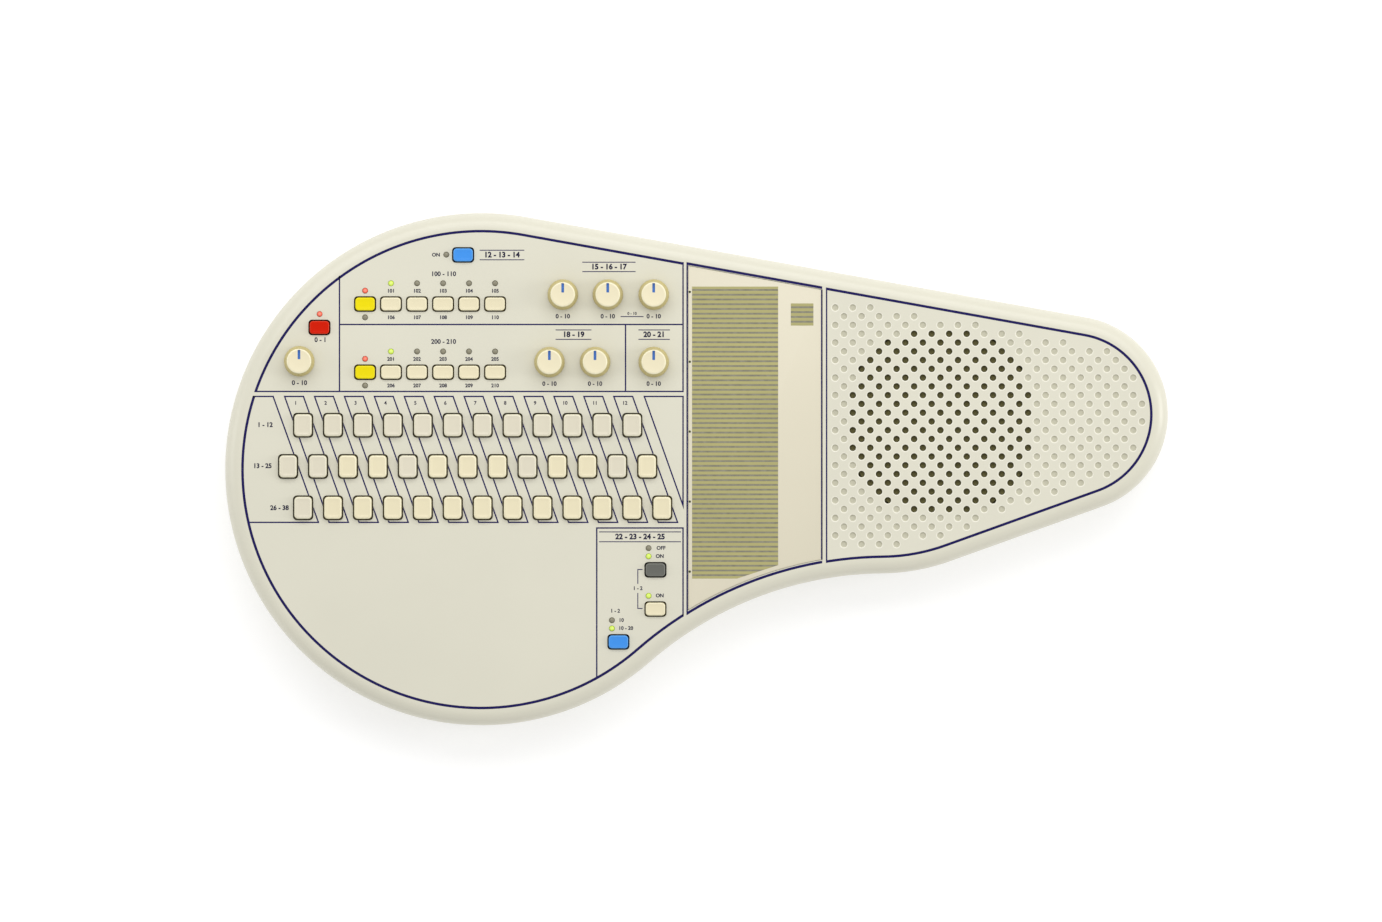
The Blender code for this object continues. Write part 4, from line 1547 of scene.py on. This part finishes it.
@dataclass
class TouchPlate:
    """The plate to strum across: a cream plate with its printed stripes, a small striped patch and marks."""

    inset: float = 13.0
    ends: Point = (-5.35, 83.0)
    low: float = 48.6
    top: float = 49.5
    zone: tuple[float, float, float, float] = (-2.9, 53.9, -72.2, 120.5)
    patch: tuple[float, float, float, float] = (62.3, 77.2, 94.8, 109.4)
    gold: float = 1.92
    zone_stripes: tuple[int, float] = (62, 1.6)
    patch_stripes: tuple[int, float] = (5, 1.9)
    ground_height: float = 0.03
    gold_height: float = 0.07
    cut: tuple[Point, Point] = ((53.7, -63.4), (26.7, -72.2))
    marks: tuple[float, ...] = (117.0, 70.9, 24.8, -21.4, -67.6)
    mark_x: float = -4.42
    mark_radius: float = 0.78
    border: tuple[float, float, float, float] = (82.6, 29.4, 0.8, 178.0)

    def plate(self) -> Blank:
        """Return the plate with eased edges."""
        blank = Blank()
        blank.outline(self.inset, self.low)
        blank.trim((self.ends[0], 0.0), (-1.0, 0.0)).trim((self.ends[1], 0.0), (1.0, 0.0))
        blank.lift(self.top - self.low).tidy()
        return blank.round_level(self.top, 0.18, 2)

    def stripes(self, zone: tuple[float, float, float, float], count: int, first: float) -> tuple[Blank, Blank]:
        """Return a striped zone.

        Args:
            zone: Its left, right, near and far sides.
            count: Number of gold stripes.
            first: Depth of the first and the last stripe.

        Returns:
            The ground and the gold stripes.
        """
        left, right, near, far = zone
        level = self.top - 0.01
        ground = Blank()
        ground.polygon([(left, near), (right, near), (right, far), (left, far)], level)
        gold = Blank()
        step = (far - near - 2 * first + self.gold) / (count - 1)
        for number in range(count):
            middle = far - first + self.gold / 2 - number * step
            high = far if number == 0 else middle + self.gold / 2
            low = near if number == count - 1 else middle - self.gold / 2
            gold.polygon([(left, low), (right, low), (right, high), (left, high)], level)
        return ground, gold

    def build(self, finishes: Finishes) -> None:
        """Make and place the plate.

        Args:
            finishes: The instrument's finishes.
        """
        Piece("touch_plate", self.plate(), (finishes.plate,), "plate", stands_for=("strum_plate",)).place()
        grounds, golds = Blank(), Blank()
        first, last = (Vector(p) for p in self.cut)
        along = last - first
        away = (-along.y, along.x)
        for zone, stripes in ((self.zone, self.zone_stripes), (self.patch, self.patch_stripes)):
            ground, gold = self.stripes(zone, *stripes)
            if zone == self.zone:
                ground.trim(tuple(first), away)
                gold.trim(tuple(first), away)
            grounds.add(ground)
            golds.add(gold)
        Piece("stripe_ground", grounds.lift(self.ground_height), (finishes.line,), "plate").place()
        Piece("stripe_gold", golds.lift(self.gold_height), (finishes.gold,), "plate").place()
        reach, high, low = self.mark_radius, self.top + 0.05, self.top - 0.01
        mark = well(reach, low, high, 16).paint(1)
        marks = Blank().add(mark, [(self.mark_x, y) for y in self.marks])
        x, y, width, depth = self.border
        border = Blank().box((x, y, self.top + 0.02), (width, depth, 0.06))
        Piece("plate_marks", marks.add(border), (finishes.ink, finishes.mark), "dark").place()


@dataclass
class RearCase:
    """The lower half of the case: a tray with its screw wells, posts, feet, side sockets and seam lip."""

    wall: float = 2.5
    rim: float = 8.0
    well_radius: float = 3.2
    well_top: float = 5.5
    post_radius: float = 4.3
    seam_lip: tuple[float, float, float, float] = (2.8, 1.5, 25.2, 29.4)
    recess: tuple[float, float, float, float] = (-142.1, 20.0, 78.0, 34.0)
    recess_depth: float = 0.35
    screws: tuple[Point, ...] = (
        (-109.15, 155.04), (-233.01, 129.84), (-300.6, 0.0), (-233.01, -129.84), (-67.69, -139.95), (148.07, -55.35),
        (283.70, 75.77), (104.33, 116.86),
    )
    feet: tuple[Point, ...] = ((-215.0, 105.0), (-215.0, -105.0), (262.0, 60.0), (262.0, 10.0))
    socket_turns: tuple[float, ...] = (95.0, 103.0, 111.0)
    socket_height: float = 19.0
    socket_radius: float = 5.3

    def tray(self) -> Blank:
        """Return the bare tray."""
        blank = Blank()
        blank.outline(0.0, FOOT_HEIGHT)
        blank.lift(SPLIT - FOOT_HEIGHT).tidy()
        blank.round_level(FOOT_HEIGHT, self.rim, 10)
        bmesh.ops.inset_region(blank.bm, faces=blank.faces_at(FOOT_HEIGHT), thickness=FLAT_MARGIN, use_even_offset=True)
        blank.drop(blank.faces_at(SPLIT))
        return blank.thicken(self.wall)

    def at_side(self, part: Blank) -> Blank:
        """Return a part, made about the upright axis, once for each side socket with its top outward.

        Args:
            part: The part, with height 0 at the face of the wall.

        Returns:
            The copies.
        """
        copies = Blank()
        for degrees in self.socket_turns:
            angle = math.radians(degrees)
            turn = Matrix.Rotation(angle, 4, "Z") @ Matrix.Rotation(math.pi / 2, 4, "Y")
            place = (*polar(PLAN.body_centre, PLAN.body_radius, angle), self.socket_height)
            copies.add(part, [place], turn)
        return copies

    def build(self, finishes: Finishes, door: "BatteryDoor") -> None:
        """Make and place the lower half with what is fixed to it.

        Args:
            finishes: The instrument's finishes.
            door: The battery door, which sets the opening.
        """
        tray = self.tray()
        cutters = Blank().add(well(self.well_radius, FOOT_HEIGHT - 1.0, self.well_top), self.screws)
        cutters.add(self.at_side(well(self.socket_radius, -4.0, 2.0)))
        x, y, width, depth = self.recess
        cutters.add(Blank().pad((width, depth), FOOT_HEIGHT - 1.0, FOOT_HEIGHT + self.recess_depth, 3.0), [(x, y)])
        tray.carve(cutters, Cut.AWAY).carve(door.slices(0.0), Cut.AWAY)
        Piece("rear_tray", tray, (finishes.back,), "back", stands_for=("rear_case",), crease=20.0).place()
        Piece("seam_lip", Blank().ring(*self.seam_lip), (finishes.back,), "back").place()
        low = Blank().lathe([(1.6, 7.0), (1.6, 26.5), (self.post_radius, 26.5), (self.post_radius + 0.4, 6.0),
                             (1.6, 6.0)], 20, closed=True)
        high = Blank().lathe([(1.4, CEILING), (self.post_radius + 0.4, CEILING), (self.post_radius, 27.6),
                              (1.4, 27.6)], 20, closed=True)
        Piece("screw_posts", Blank().add(low, self.screws).add(high, self.screws), (finishes.back,), "back").place()
        foot = Blank().lathe([(0.0, 0.5), (4.5, 0.5), (5.2, 0.0), (8.2, 0.0), (8.8, 0.4), (9.0, 1.0), (9.0, 3.5),
                              (0.0, 3.5)], 40)
        Piece("rubber_feet", Blank().add(foot, self.feet), (finishes.rubber,), "dark").place()
        Piece("case_screws", Blank().add(self.screw(), self.screws), (finishes.steel,), "grey").place()
        self.build_sockets(finishes)

    def screw(self) -> Blank:
        """Return a screw with a domed, cross-slotted head that looks down."""
        screw = Blank().lathe([(0.0, 4.0), (1.2, 4.05), (2.2, 4.3), (2.8, 4.75), (2.9, 5.4), (1.3, 5.45), (1.3, 12.0),
                               (0.0, 13.5)], 24)
        cross = Blank().box((0.0, 0.0, 4.2), (3.0, 0.7, 1.2))
        return screw.carve(cross, Cut.AWAY).carve(Blank().box((0.0, 0.0, 4.2), (0.7, 3.0, 1.2)), Cut.AWAY)

    def build_sockets(self, finishes: Finishes) -> None:
        """Make and place the side sockets.

        Args:
            finishes: The instrument's finishes.
        """
        collar = Blank().lathe([(5.2, -3.0), (5.2, -0.45), (4.9, -0.15), (3.7, -0.15), (3.4, -0.4), (3.4, -3.0)], 32,
                               closed=True)
        barrel = Blank().lathe([(0.0, -13.5), (4.9, -13.5), (4.9, -3.1), (3.35, -3.1), (3.35, -0.6), (2.9, -0.6),
                                (2.9, -12.5), (0.0, -12.5)], 32)
        Piece("socket_collars", self.at_side(collar), (finishes.steel,), "grey").place()
        Piece("socket_barrels", self.at_side(barrel), (finishes.black,), "dark").place()


@dataclass
class RatingPlate:
    """A foil plate with rows of plain numbers, in the shallow recess of the underside."""

    tray: RearCase
    margin: float = 1.0
    thick: float = 0.25
    rows: tuple[tuple[str, float, float], ...] = (
        ("1 2 3 4 5 6 7 8 9 0", 8.2, 3.4), ("10 - 20 - 30 - 40 - 50", 1.8, 2.4),
        ("100 - 200 - 300 - 400 - 500", -3.6, 2.4), ("0001", -10.0, 3.0),
    )

    def build(self, finishes: Finishes) -> None:
        """Make and place the plate.

        Args:
            finishes: The instrument's finishes.
        """
        x, y, width, depth = self.tray.recess
        ceiling = FOOT_HEIGHT + self.tray.recess_depth
        size = (width - 2 * self.margin, depth - 2 * self.margin)
        plate = Blank().add(Blank().pad(size, ceiling - self.thick, ceiling + 0.05, 2.2), [(x, y)])
        Piece("rating_plate", plate, (finishes.foil,), "grey").place()
        labels = [(text, x, y - step, height, 0.08) for text, step, height in self.rows]
        level = ceiling - self.thick - INK_HEIGHT / 2 + 0.01
        marks = lettering(labels, level, Matrix.Rotation(math.pi, 4, "X"))
        Piece("rating_numbers", marks, (finishes.label,), "dark").place()


@dataclass
class BatteryDoor:
    """The battery door with its tongues and grip, and the bay with cradles, contacts and springs behind it."""

    tray: RearCase
    centre_x: float = -142.1
    half: float = 53.0
    lip_half: float = 57.2
    far: float = -76.0
    lip_y: float = -151.04
    edge_top: float = 14.0
    gap: float = 0.3
    tongue: tuple[float, float, float] = (6.3, 7.6, 3.2)
    roof: float = 33.0
    rows: tuple[float, ...] = (-89.6, -116.1, -142.6)
    ridges: tuple[float, ...] = (-102.85, -129.35)

    def block(self, half: float, near: float, far: float, low: float, high: float) -> Blank:
        """Return a block across the bay.

        Args:
            half: Half its width.
            near: Its near side.
            far: Its far side.
            low: Height of its foot.
            high: Height of its top.

        Returns:
            The block.
        """
        return Blank().box((self.centre_x, (near + far) / 2, (low + high) / 2), (2 * half, far - near, high - low))

    def slices(self, shrink: float) -> Blank:
        """Return the space that the door takes in the case.

        Args:
            shrink: How much smaller it is on each side.

        Returns:
            The space.
        """
        plate = self.block(self.half - shrink, -180.0, self.far - shrink, -1.0, self.edge_top - shrink)
        edge = self.block(self.lip_half - shrink, -181.0, self.lip_y - shrink, -2.0, self.edge_top - shrink - 1e-3)
        return plate.carve(edge, Cut.JOIN)

    def door(self) -> Blank:
        """Return the door."""
        low, top, reach = self.tongue
        near, far = self.lip_y - 0.5, self.far - self.gap - 0.1
        door = self.tray.tray().carve(self.slices(self.gap), Cut.KEEP)
        door.carve(self.block(self.half - self.gap - 0.1, near, far, 5.2, low + 0.4), Cut.JOIN)
        door.carve(self.block(self.half + reach - 0.2, near, far, low, top), Cut.JOIN)
        grip = Blank()
        for number in range(6):
            grip.add(Blank().pad((34.0 - 2.0 * number, 1.5), FOOT_HEIGHT - 1.0, FOOT_HEIGHT + 0.7, 0.7, steps=3),
                     [(self.centre_x, -150.0 + 3.4 * number)])
        arrow = Blank()
        arrow.polygon([(self.centre_x - 5.0, -128.0), (self.centre_x + 5.0, -128.0), (self.centre_x, -132.0)],
                      FOOT_HEIGHT - 1.0)
        return door.carve(grip, Cut.AWAY).carve(arrow.lift(1.5), Cut.AWAY)

    def bay(self) -> Blank:
        """Return the bay's walls, roof and cradle ridges."""
        low, top, reach = self.tongue
        inside = Blank()
        inside.outline(4.6, 5.5)
        inside.lift(self.roof + 1.6 - 5.5)
        bay = self.block(self.lip_half + 2.0, -175.0, self.far + 2.0, 5.0, self.roof + 2.0).carve(inside, Cut.KEEP)
        bay.carve(self.block(self.half, -180.0, self.far, 0.0, self.roof), Cut.AWAY)
        groove = self.block(self.half + reach + self.gap, -181.0, self.far + self.gap, low - self.gap, top + self.gap)
        bay.carve(groove, Cut.AWAY).carve(self.slices(-0.05), Cut.AWAY)
        for y in self.ridges:
            ridge = Blank().pad((98.0, 2.0), self.roof - 9.0, self.roof + 0.5, 0.8, steps=2)
            bay.carve(Blank().add(ridge, [(self.centre_x, y)]), Cut.JOIN)
        return bay

    def build(self, finishes: Finishes) -> None:
        """Make and place the door, the bay and its contacts.

        Args:
            finishes: The instrument's finishes.
        """
        Piece("door", self.door(), (finishes.back,), "back", "battery_door", ("battery_door",), 20.0).place()
        Piece("battery_bay", self.bay(), (finishes.back,), "back").place()
        contacts = Blank()
        plate = Blank().pad((0.4, 15.0), 10.0, 27.0, 0.1, steps=1)
        coil = Blank().coil(4.6, 0.45, 4, 7.5)
        for number, y in enumerate(self.rows):
            side = 1.0 if number % 2 else -1.0
            contacts.add(plate, [(self.centre_x + 52.7, y), (self.centre_x - 52.7, y)])
            contacts.add(coil, [(self.centre_x + side * 52.3, y, 18.5)], Matrix.Rotation(-side * math.pi / 2, 4, "Y"))
        Piece("battery_contacts", contacts, (finishes.nickel,), "yellow").place()


@dataclass
class Loudspeaker:
    """The loudspeaker behind the grille: dust cloth, flange, basket, cone, surround, cap and magnet."""

    centre: Point = SPEAKER_GRILLE.centre
    reach: float = 63.6
    top: float = 47.0

    def build(self, finishes: Finishes) -> None:
        """Make and place the loudspeaker.

        Args:
            finishes: The instrument's finishes.
        """
        top, reach, place = self.top, self.reach, self.centre
        cloth = Blank().lathe([(0.0, top), (reach, top), (reach, top - 0.3), (0.0, top - 0.3)], 64, place)
        basket = Blank().lathe([(reach, top - 0.4), (reach, top - 2.0), (58.5, top - 2.2), (52.0, 38.0), (37.0, 28.4),
                                (37.0, 27.5), (34.0, 27.5), (34.0, 28.6), (50.6, 39.2), (56.0, top - 0.4)], 64, place,
                               closed=True)
        cone = Blank().lathe([(55.8, top - 0.9), (54.6, top - 0.5), (52.8, top - 0.4), (51.0, top - 1.0),
                              (49.8, top - 2.0), (18.0, 33.0), (17.0, 34.5), (13.0, 37.4), (7.0, 39.2), (0.0, 39.8),
                              (0.0, 39.2), (12.4, 36.8), (16.4, 33.6), (17.6, 32.2), (49.8, top - 2.9),
                              (55.8, top - 1.8)], 64, place)
        magnet = Blank().lathe([(0.0, 27.4), (33.4, 27.4), (34.0, 26.8), (34.0, 25.6), (31.0, 25.4), (31.0, 15.4),
                                (34.0, 15.2), (34.0, 14.0), (33.4, 13.4), (0.0, 13.4)], 64, place)
        Piece("dust_cloth", cloth, (finishes.cloth,), "dark", stands_for=("speaker",)).place()
        Piece("speaker_basket", basket, (finishes.steel,), "grey").place()
        Piece("speaker_cone", cone, (finishes.cone,), "cone").place()
        Piece("speaker_magnet", magnet, (finishes.black,), "dark").place()


@dataclass
class Studio:
    """Floor, lights and camera."""

    distance: float = 12.0
    view_width: float = 0.9121
    middle: Point = (-0.0036, 0.0054)
    sensor: float = 36.0
    sky: float = 0.67
    floor_half: float = 6.0
    floor_grey: float = 0.65
    floor_glow: float = 0.44
    boxes: tuple[tuple[str, tuple[float, float, float], Point, float], ...] = (
        ("key_softbox", (0.0, 0.7, 1.25), (2.4, 0.5), 7.6),
        ("rim_strip", (0.0, 1.6, 1.42), (3.0, 0.3), 12.8),
        ("right_softbox", (2.2, 0.1, 0.9), (0.8, 1.2), 14.0),
        ("left_softbox", (-2.3, 0.2, 0.9), (0.8, 1.2), 5.5),
        ("near_fill", (0.0, -2.2, 0.75), (2.6, 0.6), 3.2),
    )

    def floor(self) -> None:
        """Lay a white floor that is clear from below."""
        bm = bmesh.new()
        bmesh.ops.create_grid(bm, x_segments=1, y_segments=1, size=self.floor_half)
        mesh = bpy.data.meshes.new("floor")
        bm.to_mesh(mesh)
        bm.free()
        floor = bpy.data.objects.new("floor", mesh)
        bpy.context.scene.collection.objects.link(floor)
        material = bpy.data.materials.new("studio_floor")
        material.use_nodes = True
        tree = material.node_tree
        shader = tree.nodes["Principled BSDF"]
        shader.inputs["Base Color"].default_value = (self.floor_grey, self.floor_grey, self.floor_grey, 1.0)
        shader.inputs["Roughness"].default_value = 0.9
        shader.inputs["Specular IOR Level"].default_value = 0.0
        shader.inputs["Emission Color"].default_value = (1.0, 1.0, 1.0, 1.0)
        shader.inputs["Emission Strength"].default_value = self.floor_glow
        clear = tree.nodes.new("ShaderNodeBsdfTransparent")
        side = tree.nodes.new("ShaderNodeNewGeometry")
        mix = tree.nodes.new("ShaderNodeMixShader")
        tree.links.new(side.outputs["Backfacing"], mix.inputs[0])
        tree.links.new(shader.outputs[0], mix.inputs[1])
        tree.links.new(clear.outputs[0], mix.inputs[2])
        tree.links.new(mix.outputs[0], tree.nodes["Material Output"].inputs["Surface"])
        mesh.materials.append(material)

    def lamp(self, name: str, place: Sequence[float], size: Point, power: float) -> None:
        """Hang a soft box that points at the instrument.

        Args:
            name: Its name.
            place: Where it hangs, in metres.
            size: Its width and height, in metres.
            power: Its power in watts.
        """
        light = bpy.data.lights.new(name, "AREA")
        light.shape, light.size, light.size_y, light.energy = "RECTANGLE", size[0], size[1], power
        obj = bpy.data.objects.new(name, light)
        obj.location = place
        obj.rotation_euler = (-Vector(place)).to_track_quat("-Z", "Y").to_euler()
        bpy.context.scene.collection.objects.link(obj)

    def build(self) -> None:
        """Set the studio up."""
        scene = bpy.context.scene
        scene.view_settings.view_transform = "Standard"
        world = bpy.data.worlds.new("studio")
        scene.world = world
        world.use_nodes = True
        background = world.node_tree.nodes["Background"]
        background.inputs["Color"].default_value = (1.0, 1.0, 1.0, 1.0)
        background.inputs["Strength"].default_value = self.sky
        self.floor()
        for box in self.boxes:
            self.lamp(*box)
        camera = bpy.data.cameras.new("camera")
        camera.sensor_width = self.sensor
        camera.lens = self.sensor * self.distance / self.view_width
        camera.clip_end = 100.0
        obj = bpy.data.objects.new("camera", camera)
        obj.location = (*self.middle, self.distance + PANEL_TOP * MM)
        scene.collection.objects.link(obj)
        scene.camera = obj


def main() -> None:
    """Load the frame and dress the instrument."""
    logging.basicConfig(level=logging.INFO, format="%(message)s")
    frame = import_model()
    Studio().build()
    finishes = Finishes()
    layout = Layout.read(frame["nodes"])
    caps = ChordCaps(layout)
    rear = RearCase()
    door = BatteryDoor(rear)
    for assembly in (FrontCase(layout), Printing(layout), TouchPlate(), caps, Buttons(layout, caps), Knobs(layout),
                     Lamps(), Loudspeaker(), RatingPlate(rear), door):
        assembly.build(finishes)
        LOG.info("%s done", type(assembly).__name__)
    rear.build(finishes, door)
    LOG.info("RearCase done")
    for slot in bpy.data.objects["main_board"].material_slots:
        slot.material = finishes.laminate


if __name__ == "__main__":
    main()
